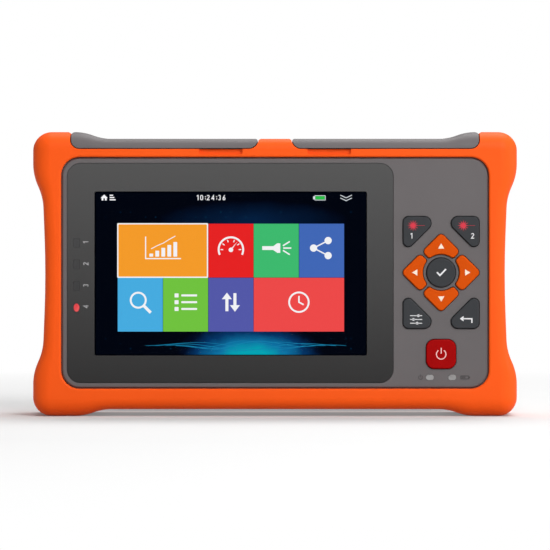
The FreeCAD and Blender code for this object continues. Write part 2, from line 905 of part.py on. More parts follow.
def keypad_mat():
    low, high = power_z - power_height / 2 - mat_margin, key_board_top
    corners = rectangle(key_board_left + mat_margin / 2, low, key_board_right - mat_margin / 2, high, mat_radius)
    mat = plate(corners, mat_y, mat_y + mat_thickness)
    cuts = [rod_y(x, z, key_post_radius + mat_clearance, mat_y - 1, dome_y + 1) for x, z in key_post_places()]
    cuts += [rod_y(x, z, boss_radius + mat_clearance, mat_y - 1, dome_y + 1) for x, z in screw_places()]
    return joined([mat.cut(cuts)])


def key_board():
    """Board under the keys, with a tongue down to the status lights."""
    left, right = pad_x - key_tongue_half_width, pad_x + key_tongue_half_width
    corners = [(key_board_left, key_board_bottom), (left, key_board_bottom), (left, key_tongue_bottom),
               (right, key_tongue_bottom), (right, key_board_bottom), (key_board_right, key_board_bottom),
               (key_board_right, key_board_top), (key_board_left, key_board_top)]
    corners = [(x, z, key_board_radius) for x, z in corners]
    board = plate(corners, key_board_y, key_board_back_y)
    return board.cut([rod_y(x, z, small_screw_radius + small_hole_gap, key_board_y - 1, key_board_back_y + 1)
                      for x, z in key_post_places()])


def dome(u, v):
    """Pressed metal dome on the key board."""
    base = rod_y(pad_x + u, pad_z + v, dome_radius, dome_y, key_board_y)
    return base.makeChamfer(dome_height * 0.9, edges_at(base, lambda p: near(p.y, dome_y)))


def status_window(side):
    """Oval light pipe through the front wall."""
    corners = centred(pad_x + side * status_spread, status_z, status_width, status_height, status_height / 2)
    return plate(corners, face_y - status_proud, key_board_y - led_height)


def lamps():
    """Small lamps behind the function indicators and the status lights."""
    places = [(indicator_x, indicator_board_y, indicator_first_z + indicator_pitch * i)
              for i in range(indicator_count)]
    places += [(pad_x + side * status_spread, key_board_y, status_z) for side in (-1, 1)]
    return [block(x - led_size / 2, x + led_size / 2, y - led_height, y, z - led_size / 2, z + led_size / 2)
            for x, y, z in places]


# ---------------------------------------------------------------- display
def front_lens():
    """Dark frame of the display, with the screen's window and the indicators' windows."""
    lens = plate(lens_outline(), lens_front_y, lens_back_y)
    window = plate(centred(screen_middle_x, screen_middle_z, screen_width + 2 * window_margin,
                           screen_height + 2 * window_margin, 0.8), lens_front_y - 1, lens_back_y + 1)
    lights = [plate(o, lens_front_y - 1, lens_back_y + 1) for o in indicator_outlines(indicator_gap)]
    return lens.cut([window] + lights)


def display_gasket():
    outer = plate(panel_outline(), lens_back_y, touch_front_y)
    inner = plate(panel_outline(-gasket_width), lens_back_y - 1, touch_front_y + 1)
    return outer.cut(inner)


def display_bracket():
    """Steel frame that holds the panel against the case, with its screws above and below the panel."""
    outer = plate(centred(panel_middle_x, screen_middle_z, 2 * bracket_half_width, 2 * bracket_half_height,
                          bracket_radius), panel_back_y, bracket_back_y)
    inner = plate(panel_outline(-bracket_frame), panel_back_y - 1, bracket_back_y + 1)
    relief_half = bracket_half_width - 2 * bracket_screw_x
    reliefs = [block(panel_middle_x - relief_half, panel_middle_x + relief_half, panel_back_y - 1,
                     bracket_back_y + 1, *sorted((screen_middle_z + sz * (panel_height / 2 + wall / 2),
                                                  screen_middle_z + sz * (bracket_half_height + 1))))
               for sz in (-1, 1)]
    holes = [rod_y(x, z, small_screw_radius + small_hole_gap, panel_back_y - 1, bracket_back_y + 1)
             for x, z in bracket_screw_places()]
    return joined([outer.cut([inner] + reliefs + holes)])


def standoffs():
    return [rod_y(x, z, standoff_radius, bracket_back_y, main_board_y).cut(
        rod_y(x, z, small_screw_radius, bracket_back_y + 1, main_board_y)) for x, z in standoff_places()]


def main_board():
    board = plate(centred(panel_middle_x, screen_middle_z, 2 * main_board_half_width,
                          2 * main_board_half_height, bracket_radius), main_board_y, main_board_back_y)
    return board.cut([rod_y(x, z, small_screw_radius + small_hole_gap, main_board_y - 1, main_board_back_y + 1)
                      for x, z in standoff_places()])


def board_parts():
    """Shield cans, connectors and chips on the back of the main board, each a share of the board's size."""
    parts = [(-0.30, 0.08, 0.42, 0.54, 1.0), (0.24, 0.14, 0.26, 0.41, 0.75), (0.62, 0.08, 0.21, 0.49, 0.5),
             (-0.32, -0.81, 0.35, 0.43, 1.0), (0.59, -0.73, 0.28, 0.14, 0.85)]
    shapes = []
    for left, bottom, width, height, rise in parts:
        x = panel_middle_x + left * main_board_half_width
        z = screen_middle_z + bottom * main_board_half_height
        shapes.append(block(x, x + width * main_board_half_width, main_board_back_y,
                            main_board_back_y + rise * board_part_rise, z, z + height * main_board_half_height))
    return shapes


def indicator_board():
    middle = (indicator_board_left + indicator_board_right) / 2
    height = indicator_pitch * (indicator_count - 1) + 2 * indicator_board_end
    return plate(centred(middle, indicator_middle_z, indicator_board_right - indicator_board_left, height, 0.8),
                 indicator_board_y, indicator_board_y + indicator_board_thickness)


# ---------------------------------------------------------------- case
def front_housing():
    """Front shell: a plateau in the boot's window, the display pocket, the key holes and the bosses."""
    shell = plate(case_outline(), case_front, seam_y)
    plateau = rounded_front(plate(window_outline(window_gap), face_y, case_front), face_y, plateau_rounding)
    cavity = plate(case_outline(wall), front_inner_y, seam_y + 1)
    body = shell.fuse(plateau).cut(cavity)
    bosses = [rod_y(x, z, boss_radius, front_inner_y - 0.5, seam_y) for x, z in screw_places()]
    bosses += [rod_y(x, z, display_boss_radius, front_inner_y - 0.5, panel_back_y)
               for x, z in bracket_screw_places()]
    bosses += [rod_y(x, z, key_post_radius, front_inner_y - 0.5, key_board_y) for x, z in key_post_places()]
    pads = []
    for side in (-1, 1):
        end = indicator_middle_z + side * (indicator_pitch * (indicator_count - 1) / 2 + indicator_board_end)
        pads.append(block(indicator_board_left, indicator_board_right, front_inner_y - 0.5, indicator_board_y,
                          *sorted((end, end - side * indicator_pad))))
    body = body.fuse(bosses + pads)
    deep = front_inner_y + 1
    cuts = [plate(lens_outline(lens_gap), face_y - 1, lens_back_y),
            plate(panel_outline(panel_gap), face_y - 1, deep)]
    cuts += [plate(o, face_y - 1, deep) for o in indicator_outlines(indicator_gap)]
    cuts += [prism(key_gap, face_y - 1, deep) for _, prism, _ in KEYS]
    cuts += [plate(centred(pad_x + side * status_spread, status_z, status_width + 0.1, status_height + 0.1,
                           status_height / 2), face_y - 1, deep) for side in (-1, 1)]
    cuts += [rod_y(x, z, screw_radius, seam_y - screw_bite - screw_tip_gap, seam_y + 1)
             for x, z in screw_places()]
    cuts += [rod_y(x, z, small_screw_radius, panel_back_y - small_pilot_depth, panel_back_y + 1)
             for x, z in bracket_screw_places()]
    cuts += [rod_y(x, z, small_screw_radius, key_board_y - small_pilot_depth, key_board_y + 1)
             for x, z in key_post_places()]
    return joined([body.cut(cuts)])


def seal_ring(clear=0.0):
    """Ring in the seam between the two shells."""
    inset = (wall - seal_width) / 2
    outer = plate(case_outline(inset - clear), seam_y, seam_y + seal_depth + clear)
    return outer.cut(plate(case_outline(inset + seal_width + clear), seam_y - 1, seam_y + seal_depth + 1))


def rear_housing():
    """Rear shell: bays for the ports, battery and kickstand, hinge lugs and screw columns."""
    shell = plate(case_outline(), seam_y, case_back)
    plateau = plate(window_outline(window_gap), case_back, back_face_y)
    plateau = plateau.makeFillet(plateau_rounding, edges_at(plateau, lambda p: near(p.y, back_face_y)))
    cavity = plate(case_outline(wall), seam_y - 1, back_inner_y)
    body = shell.fuse(plateau).cut(cavity)

    # Solid pads inside, for what is sunk into the back.
    inner_top = back_inner_y + 0.5
    pads = [plate(rectangle(-stand_width / 2 - stand_wall - stand_gap, stand_bottom_z - scoop_height - wall,
                            stand_width / 2 + stand_wall + stand_gap, stand_top_z + wall, 2),
                  stand_pocket_y - wall, inner_top),
            plate(cover_outline(wall / 2), cover_y - cover_gap - wall, inner_top),
            plate(battery_outline(battery_wall), battery_front_y - battery_gap - battery_wall, inner_top)]
    columns = [rod_y(x, z, column_radius, seam_y, inner_top) for x, z in screw_places()]
    posts = [rod_y(x, z, small_head_radius + module_post_wall, module_back_y, inner_top)
             for x, z in module_screw_places()]
    lugs = [hinge_lug(), mirrored_x(hinge_lug())]
    body = body.fuse(pads + columns + posts + lugs)

    cuts = [seal_ring(0.05)]
    for x, z in screw_places():
        cuts += [rod_y(x, z, screw_radius + screw_hole_gap, seam_y - 1, screw_seat_y),
                 rod_y(x, z, driver_radius, screw_seat_y, boot_back)]
    flange = column(bay_outline(bay_flange + bay_gap), case_top - bay_flange_thickness - 0.05, case_top + 1)
    well = column(bay_outline(bay_wall + bay_gap), case_top - wall - 1, case_top + 1)
    cuts += [flange, mirrored_x(flange), well, mirrored_x(well)]
    cuts += [plate(cover_outline(cover_gap), cover_y, boot_back),
             plate(battery_outline(battery_gap), battery_front_y - battery_gap, boot_back)]
    cuts += [rod_y(x, z, small_screw_radius, cover_y - small_pilot_depth, boot_back)
             for x, z in cover_screw_places()]
    cuts += [rod_y(x, z, small_screw_radius, module_back_y - 1, module_back_y + small_pilot_depth)
             for x, z in module_screw_places()]
    cuts += [plate(stand_outline(stand_gap), stand_pocket_y, boot_back), scoop()]
    cuts += [rod_x(stand_y, stand_hinge_z, stand_pin_radius + hinge_press_gap,
                   *sorted((side * stand_width / 2, side * (stand_width / 2 + stand_gap + stand_pin_reach))))
             for side in (-1, 1)]
    cuts += [contact_blade(i, 0.02) for i in range(contact_count)]
    return joined([body.cut(cuts)])


def scoop():
    """Finger notch under the kickstand's free end."""
    corners = rectangle(-scoop_width / 2, stand_bottom_z - scoop_height, scoop_width / 2,
                        stand_bottom_z + stand_corner_radius, scoop_radius)
    return plate(corners, back_face_y - scoop_depth, boot_back)


def kickstand():
    """Frame with a rounded top edge, so that it turns about its pins within its recess."""
    front, back = stand_y - stand_thickness / 2, stand_y + stand_thickness / 2
    frame = plate(stand_outline(), front, back)
    frame = frame.makeFillet(stand_thickness / 2 - 0.02, edges_at(frame, lambda p: near(p.z, stand_top_z)
                                                                  and not near(front, back)))
    window = plate(rectangle(-stand_width / 2 + stand_frame, stand_bottom_z + stand_foot_share * stand_frame,
                             stand_width / 2 - stand_frame, stand_top_z - stand_frame, stand_window_radius),
                   front - 1, back + 1)
    holes = [rod_x(stand_y, stand_hinge_z, stand_pin_radius + hinge_running_gap,
                   *sorted((side * (stand_width / 2 - stand_pin_bite - 0.3), side * (stand_width / 2 + 1))))
             for side in (-1, 1)]
    return joined([frame.cut([window] + holes)])


def stand_pins():
    return [rod_x(stand_y, stand_hinge_z, stand_pin_radius,
                  *sorted((side * (stand_width / 2 - stand_pin_bite),
                           side * (stand_width / 2 + stand_gap + stand_pin_reach)))) for side in (-1, 1)]


# ---------------------------------------------------------------- battery
def battery_outline(grow=0.0):
    """Front view of the battery's bay."""
    return rectangle(battery_x - battery_width / 2 - grow, battery_bottom - grow,
                     battery_x + battery_width / 2 + grow, battery_top + grow, 1 + grow)


def battery_pack():
    """Flat pack with round sides, standing in its bay."""
    corners = centred(battery_x, (battery_front_y + battery_back_y) / 2, battery_width, battery_depth,
                      battery_radius)
    pack = column(corners, battery_bottom, battery_top)
    ends = edges_at(pack, lambda p: near(p.z, battery_bottom)) + edges_at(pack, lambda p: near(p.z, battery_top))
    return pack.makeChamfer(pack_edge, ends)


def contact_blade(i, clear=0.0):
    """Bent blade in the bay's inner wall; it meets the pack."""
    x = battery_x + (i - (contact_count - 1) / 2) * contact_pitch
    half = contact_width / 2 + clear
    z = battery_top - contact_inset
    return block(x - half, x + half, battery_front_y - battery_gap - battery_wall - 2, battery_front_y - clear,
                 z - contact_thickness - clear, z + contact_thickness + clear)


def battery_cover():
    cover = plate(cover_outline(), cover_y, back_face_y)
    cover = cover.makeFillet(plateau_rounding, edges_at(cover, lambda p: near(p.y, back_face_y)))
    head_y = back_face_y - small_head_height - cover_head_sink
    holes = []
    for x, z in cover_screw_places():
        holes += [rod_y(x, z, small_screw_radius + small_hole_gap, cover_y - 1, head_y),
                  rod_y(x, z, small_head_radius + head_hole_gap, head_y, boot_back)]
    return cover.cut(holes)


# ---------------------------------------------------------------- ports
def port_tray(openings):
    """Right-hand port bay: an open box with a flange, its floor cut for what stands in it."""
    body = column(bay_outline(bay_wall), bay_underside_z, case_top)
    body = body.fuse(column(bay_outline(bay_flange), case_top - bay_flange_thickness, case_top))
    return body.cut([column(bay_outline(), bay_floor_z, case_top + 1)] + openings)


def optical_tray():
    """Left-hand port bay."""
    holes = [rod_z(x, bay_middle_y, port_tail_radius + 0.1, bay_underside_z - 1, bay_floor_z + 1)
             for x in (test_port_x, meter_port_x, locator_port_x)]
    holes += [rod_z(x, y, fc_screw_radius, bay_underside_z - 1, bay_floor_z + 1)
              for x, y in fc_screw_places()]
    tray = mirrored_x(port_tray([]))
    return joined([tray.cut(holes)])


def socket_places():
    """Each socket's middle, width and depth, for the holes in the tray's floor."""
    return [(lan_x, lan_width, lan_depth), (usb_x, usb_width, usb_depth), (charge_x, charge_body, charge_body)]


def data_tray():
    holes = [column(centred(x, bay_middle_y, w + 2 * socket_gap, d + 2 * socket_gap, 0.3), bay_underside_z - 1,
                    bay_floor_z + 1) for x, w, d in socket_places()]
    posts = [rod_z(x, y, port_post_radius, port_board_z, bay_underside_z) for x, y in port_post_places()]
    pilots = [rod_z(x, y, small_screw_radius, port_board_z - 1, port_board_z + small_pilot_depth)
              for x, y in port_post_places()]
    return joined([port_tray(holes).fuse(posts).cut(pilots)])


def port_board_outline(grow=0.0):
    depth = lan_depth + 2 * port_board_margin
    return centred(bay_middle_x, bay_middle_y, bay_width + 2 * grow, depth, 1.0)


def port_post_places():
    depth = lan_depth / 2 + port_board_margin - port_post_inset
    return [(bay_inner_x + port_post_inset - port_post_inner_shift, bay_middle_y - depth),
            (bay_outer_x - port_post_inset + port_post_outer_shift, bay_middle_y + depth)]


def port_board():
    board = column(port_board_outline(), port_board_z - board_thickness, port_board_z)
    return board.cut([rod_z(x, y, small_screw_radius + small_hole_gap, port_board_z - 3, port_board_z + 1)
                      for x, y in port_post_places()])


def port_board_screws():
    screws = []
    for x, y in port_post_places():
        seat = port_board_z - board_thickness
        screws.append(joined([rod_z(x, y, small_screw_radius, seat, seat + small_screw_length).fuse(
            rod_z(x, y, small_head_radius, seat - small_head_height, seat))]))
    return screws


def lan_socket():
    """Upright network socket with its stepped mouth, open at the top."""
    body = block(lan_x - lan_width / 2, lan_x + lan_width / 2, bay_middle_y - lan_depth / 2,
                 bay_middle_y + lan_depth / 2, port_board_z, socket_top_z)
    front = bay_middle_y - (lan_mouth_height + lan_latch_height) / 2
    low = socket_top_z - lan_mouth_length
    mouth = block(lan_x - lan_mouth_width / 2, lan_x + lan_mouth_width / 2, front, front + lan_mouth_height, low,
                  socket_top_z + 1)
    latch = block(lan_x - lan_latch_width / 2, lan_x + lan_latch_width / 2, front + lan_mouth_height - 0.1,
                  front + lan_mouth_height + lan_latch_height, low, socket_top_z + 1)
    return joined([body.cut([mouth, latch])])


def lan_contacts():
    """Spring wires of the network socket, standing off the wall of its mouth."""
    front = bay_middle_y - (lan_mouth_height + lan_latch_height) / 2
    low, high = socket_top_z - lan_mouth_length, socket_top_z - 2.5
    wires = []
    for i in range(lan_contact_count):
        x = lan_x + (i - (lan_contact_count - 1) / 2) * lan_contact_pitch
        outline = [(front, low), (front + lan_contact_size, low), (front + lan_contact_size, high - 4.5),
                   (front + 2.2, high - 0.4), (front + 2.2 - lan_contact_size, high), (front, high - 3.9)]
        points = [Vector(x - lan_contact_size / 2, y, z) for y, z in outline]
        face = Part.Face(Part.makePolygon(points + points[:1]))
        wires.append(face.extrude(Vector(lan_contact_size, 0, 0)))
    return wires


def usb_shell_part():
    outer = column(centred(usb_x, bay_middle_y, usb_width, usb_depth, 0.8), port_board_z, socket_top_z)
    inner = column(centred(usb_x, bay_middle_y, usb_width - 2 * usb_shell, usb_depth - 2 * usb_shell, 0.45),
                   port_board_z - 1, socket_top_z + 1)
    return outer.cut(inner)


def usb_tongue():
    """Insulator in the shell: a base block and the tongue that carries the contacts."""
    slack = 0.02
    base = column(centred(usb_x, bay_middle_y, usb_width - 2 * usb_shell - slack, usb_depth - 2 * usb_shell - slack,
                          0.4), port_board_z, socket_top_z - usb_cavity)
    y = bay_middle_y - usb_depth / 2 + usb_shell + 0.7
    tongue = block(usb_x - usb_tongue_width / 2, usb_x + usb_tongue_width / 2, y, y + usb_tongue_thickness,
                   socket_top_z - usb_cavity - 1, socket_top_z - 0.6)
    return joined([base.fuse(tongue)])


def charge_socket():
    body = block(charge_x - charge_body / 2, charge_x + charge_body / 2, bay_middle_y - charge_body / 2,
                 bay_middle_y + charge_body / 2, port_board_z, socket_top_z)
    return body.cut(rod_z(charge_x, bay_middle_y, charge_bore_radius, socket_top_z - charge_depth,
                          socket_top_z + 1))


def charge_pin():
    pin = rod_z(charge_x, bay_middle_y, charge_pin_radius, socket_top_z - charge_depth,
                socket_top_z - charge_pin_sink)
    return pin.makeChamfer(0.3, edges_at(pin, lambda p: near(p.z, socket_top_z - charge_pin_sink)))


def fc_screw_places():
    return [(test_port_x + side * fc_screw_offset, bay_middle_y + side * fc_screw_offset) for side in (-1, 1)]


def port_tail(x):
    """Threaded tail of an adapter below the tray's floor."""
    return rod_z(x, bay_middle_y, port_tail_radius, bay_floor_z - port_tail_length, bay_floor_z + 0.5)


def port_nuts():
    """Six-sided nuts that hold the adapters from below."""
    nuts = []
    for x in (test_port_x, meter_port_x, locator_port_x):
        points = [Vector(x + port_nut_radius * math.cos(math.radians(60 * i)),
                         bay_middle_y + port_nut_radius * math.sin(math.radians(60 * i)), port_nut_z)
                  for i in range(6)]
        face = Part.Face(Part.makePolygon(points + points[:1]))
        nut = face.extrude(Vector(0, 0, port_nut_thickness))
        nuts.append(nut.cut(rod_z(x, bay_middle_y, port_tail_radius, port_nut_z - 1, bay_floor_z)))
    return nuts


def test_port():
    """Square-flanged adapter with a threaded barrel and the notch for the plug's key."""
    x, y = test_port_x, bay_middle_y
    top = bay_floor_z + fc_barrel_height
    flange = column(centred(x, y, fc_flange_size, fc_flange_size, fc_flange_radius), bay_floor_z,
                    bay_floor_z + fc_flange_thickness)
    body = flange.fuse([rod_z(x, y, fc_thread_radius, bay_floor_z, top), port_tail(x)])
    cuts = [rod_z(x, y, fc_bore_radius, bay_floor_z + port_socket_floor, top + 1),
            rod_z(x, y, sleeve_radius, bay_floor_z - 3, top),
            block(x - fc_key_width / 2, x + fc_key_width / 2, y - fc_thread_radius - 1, y, top - fc_key_depth,
                  top + 1)]
    cuts += [rod_z(sx, sy, fc_screw_radius + small_hole_gap, bay_floor_z - 1, bay_floor_z + fc_flange_thickness + 1)
             for sx, sy in fc_screw_places()]
    return joined([body.cut(cuts)])


def meter_port():
    """Adapter of the power meter: a stepped barrel round the detector."""
    x, y = meter_port_x, bay_middle_y
    top = bay_floor_z + meter_height
    body = rod_z(x, y, meter_radius, bay_floor_z, top).fuse(
        [rod_z(x, y, meter_collar_radius, bay_floor_z, bay_floor_z + meter_collar_height), port_tail(x)])
    return joined([body.cut(rod_z(x, y, meter_bore_radius, bay_floor_z + port_socket_floor, top + 1))])


def meter_detector():
    """Detector can with its flange, at the bottom of the meter's adapter."""
    bottom = bay_floor_z + port_socket_floor
    can = rod_z(meter_port_x, bay_middle_y, detector_can_radius, bottom, bottom + detector_height)
    flange = rod_z(meter_port_x, bay_middle_y, detector_radius, bottom, bottom + detector_flange)
    return joined([can.fuse(flange)])


def locator_port():
    """Push-on adapter of the fault locator."""
    x, y = locator_port_x, bay_middle_y
    top = bay_floor_z + locator_height
    body = rod_z(x, y, locator_radius, bay_floor_z, top)
    body = body.makeChamfer(0.5, edges_at(body, lambda p: near(p.z, top)))
    body = body.fuse([rod_z(x, y, locator_collar_radius, bay_floor_z, bay_floor_z + meter_collar_height),
                      port_tail(x)])
    return joined([body.cut([rod_z(x, y, locator_bore_radius, bay_floor_z + port_socket_floor, top + 1),
                             rod_z(x, y, sleeve_radius, bay_floor_z - 3, top)])])


def ferrule_sleeve(x, height):
    """Ceramic sleeve that lines up the plug's ferrule."""
    low, high = bay_floor_z - 3, bay_floor_z + height - sleeve_sink
    return rod_z(x, bay_middle_y, sleeve_radius, low, high).cut(
        rod_z(x, bay_middle_y, ferrule_radius, low + 1, high + 1))


def fc_screws():
    screws = []
    for x, y in fc_screw_places():
        seat = bay_floor_z + fc_flange_thickness
        shank = rod_z(x, y, fc_screw_radius, bay_underside_z, seat)
        screws.append(joined([shank.fuse(rod_z(x, y, fc_head_radius, seat, seat + fc_head_height))]))
    return screws


# ---------------------------------------------------------------- optical module and spool
def optical_module():
    """Folded metal box with four ears."""
    box = plate(rectangle(module_left, module_bottom, module_right, module_top, module_radius),
                module_front_y, module_back_y)
    ears = []
    for x, z in module_screw_places():
        inner = module_bottom + 2 if z < module_bottom else module_top - 2
        low, high = sorted((z + (-1 if z < module_bottom else 1) * module_ear * 0.6, inner))
        ears.append(block(x - module_ear * 0.8, x + module_ear * 0.8, module_back_y - module_ear_thickness,
                          module_back_y, low, high))
    holes = [rod_y(x, z, small_screw_radius + small_hole_gap, module_back_y - 5, module_back_y + 1)
             for x, z in module_screw_places()]
    return joined([box.fuse(ears).cut(holes)])


def fibre_spool():
    """Hub with two flanges for the launch fibre."""
    back, front = spool_back_y, spool_back_y - spool_width
    spool = rod_y(spool_x, spool_z, spool_hub_radius, front, back)
    spool = spool.fuse([rod_y(spool_x, spool_z, spool_radius, front, front + spool_flange),
                        rod_y(spool_x, spool_z, spool_radius, back - spool_flange, back)])
    return joined([spool.cut(rod_y(spool_x, spool_z, spool_hub_radius - spool_hub_wall, front - 1, back + 1))])


def fibre_coil():
    back, front = spool_back_y - spool_flange, spool_back_y - spool_width + spool_flange
    return rod_y(spool_x, spool_z, spool_hub_radius + coil_thickness, front, back).cut(
        rod_y(spool_x, spool_z, spool_hub_radius, front - 1, back + 1))


def pigtails():
    """Fibre tails from the adapters down to the module or towards the spool."""
    tails = []
    for x in (test_port_x, meter_port_x):
        low = module_top if x < module_right - 1 else bay_floor_z - port_tail_length - 6
        tails.append(rod_z(x, bay_middle_y, pigtail_radius, low, bay_floor_z - port_tail_length))
    return tails


# ---------------------------------------------------------------- the pieces
blank = boot_blank()
right_flap = port_flap(blank)

NODES = {
    "rubber_boot": [rubber_boot(blank)],
    "port_flap_right": [right_flap],
    "port_flap_left": [mirrored_x(right_flap)],
    "flap_hinge_pins": [rod_y(sx * hinge_x, hinge_z, hinge_pin_radius, hinge_y - hinge_pin_length / 2,
                              hinge_y + hinge_pin_length / 2) for sx in (-1, 1)],
    "front_housing": [front_housing()],
    "rear_housing": [rear_housing()],
    "case_seal": [seal_ring()],
    "case_screws": case_screws(),
    "front_lens": [front_lens()],
    "touch_panel": [plate(panel_outline(), touch_front_y, touch_back_y)],
    "display_panel": [plate(panel_outline(), touch_back_y, panel_back_y)],
    "display_gasket": [display_gasket()],
    "display_bracket": [display_bracket()],
    "small_screws": inner_screws(),
    "board_standoffs": standoffs(),
    "main_board": [main_board()],
    "main_board_parts": board_parts(),
    "indicator_windows": [plate(o, lens_front_y, front_inner_y) for o in indicator_outlines()],
    "lamps": lamps(),
    "indicator_board": [indicator_board()],
    "keypad_mat": [keypad_mat()],
    "key_domes": [dome(u, v) for _, _, (u, v) in KEYS],
    "key_board": [key_board()],
    "status_windows": [status_window(side) for side in (-1, 1)],
    "optical_port_tray": [optical_tray()],
    "test_port_adapter": [test_port()],
    "adapter_screws": fc_screws(),
    "meter_port_adapter": [meter_port()],
    "meter_detector": [meter_detector()],
    "locator_port_adapter": [locator_port()],
    "ferrule_sleeves": [ferrule_sleeve(test_port_x, fc_barrel_height),
                        ferrule_sleeve(locator_port_x, locator_height)],
    "adapter_nuts": port_nuts(),
    "data_port_tray": [data_tray()],
    "lan_socket": [lan_socket()],
    "lan_contacts": lan_contacts(),
    "usb_socket_shell": [usb_shell_part()],
    "usb_socket_tongue": [usb_tongue()],
    "charge_socket": [charge_socket()],
    "charge_pin": [charge_pin()],
    "port_board": [port_board()],
    "optical_module": [optical_module()],
    "fibre_spool": [fibre_spool()],
    "optical_fibre": [fibre_coil()] + pigtails(),
    "kickstand": [kickstand()],
    "kickstand_pins": stand_pins(),
    "battery_pack": [battery_pack()],
    "battery_contacts": [contact_blade(i) for i in range(contact_count)],
    "battery_cover": [battery_cover()],
    "cover_screws": small_screws(cover_screw_places(), back_face_y - small_head_height - cover_head_sink),
}
NODES.update({name: [key(prism)] for name, prism, _ in KEYS})

os.makedirs("parts", exist_ok=True)
for name, solids in NODES.items():
    found = [solid for shape in solids for solid in shape.Solids]
    shape = found[0] if len(found) == 1 else Part.makeCompound(found)
    shape.exportStep("parts/%s.step" % name)
print("%d pieces" % len(NODES))
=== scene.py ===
import math

import bpy
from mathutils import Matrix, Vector


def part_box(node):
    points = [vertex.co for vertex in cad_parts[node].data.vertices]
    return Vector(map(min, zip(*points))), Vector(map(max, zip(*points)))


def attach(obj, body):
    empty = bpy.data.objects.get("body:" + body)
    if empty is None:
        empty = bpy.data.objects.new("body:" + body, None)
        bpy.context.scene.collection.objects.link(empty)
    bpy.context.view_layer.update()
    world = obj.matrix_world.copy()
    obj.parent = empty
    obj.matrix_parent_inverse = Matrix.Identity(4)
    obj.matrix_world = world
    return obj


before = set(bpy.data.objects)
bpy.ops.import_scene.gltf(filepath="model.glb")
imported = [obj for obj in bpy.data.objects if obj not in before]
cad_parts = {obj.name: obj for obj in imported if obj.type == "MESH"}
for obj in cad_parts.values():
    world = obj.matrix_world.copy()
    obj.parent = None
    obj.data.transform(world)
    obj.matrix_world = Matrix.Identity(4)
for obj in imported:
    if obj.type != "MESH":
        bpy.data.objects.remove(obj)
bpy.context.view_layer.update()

MM = 0.001
CASE = "case"


# ---------------------------------------------------------------- colours and materials
def linear(r, g, b):
    """Scene colour of an 8-bit display colour."""
    out = []
    for c in (r, g, b):
        c /= 255
        out.append(c / 12.92 if c <= 0.04045 else ((c + 0.055) / 1.055) ** 2.4)
    return tuple(out)


def scaled(color, k):
    """The colour, lighter or darker by the factor."""
    return tuple(min(1.0, c * k) for c in color)


MID_NOISE = (0.3, 0.7)  # the range in which most of a noise's values lie


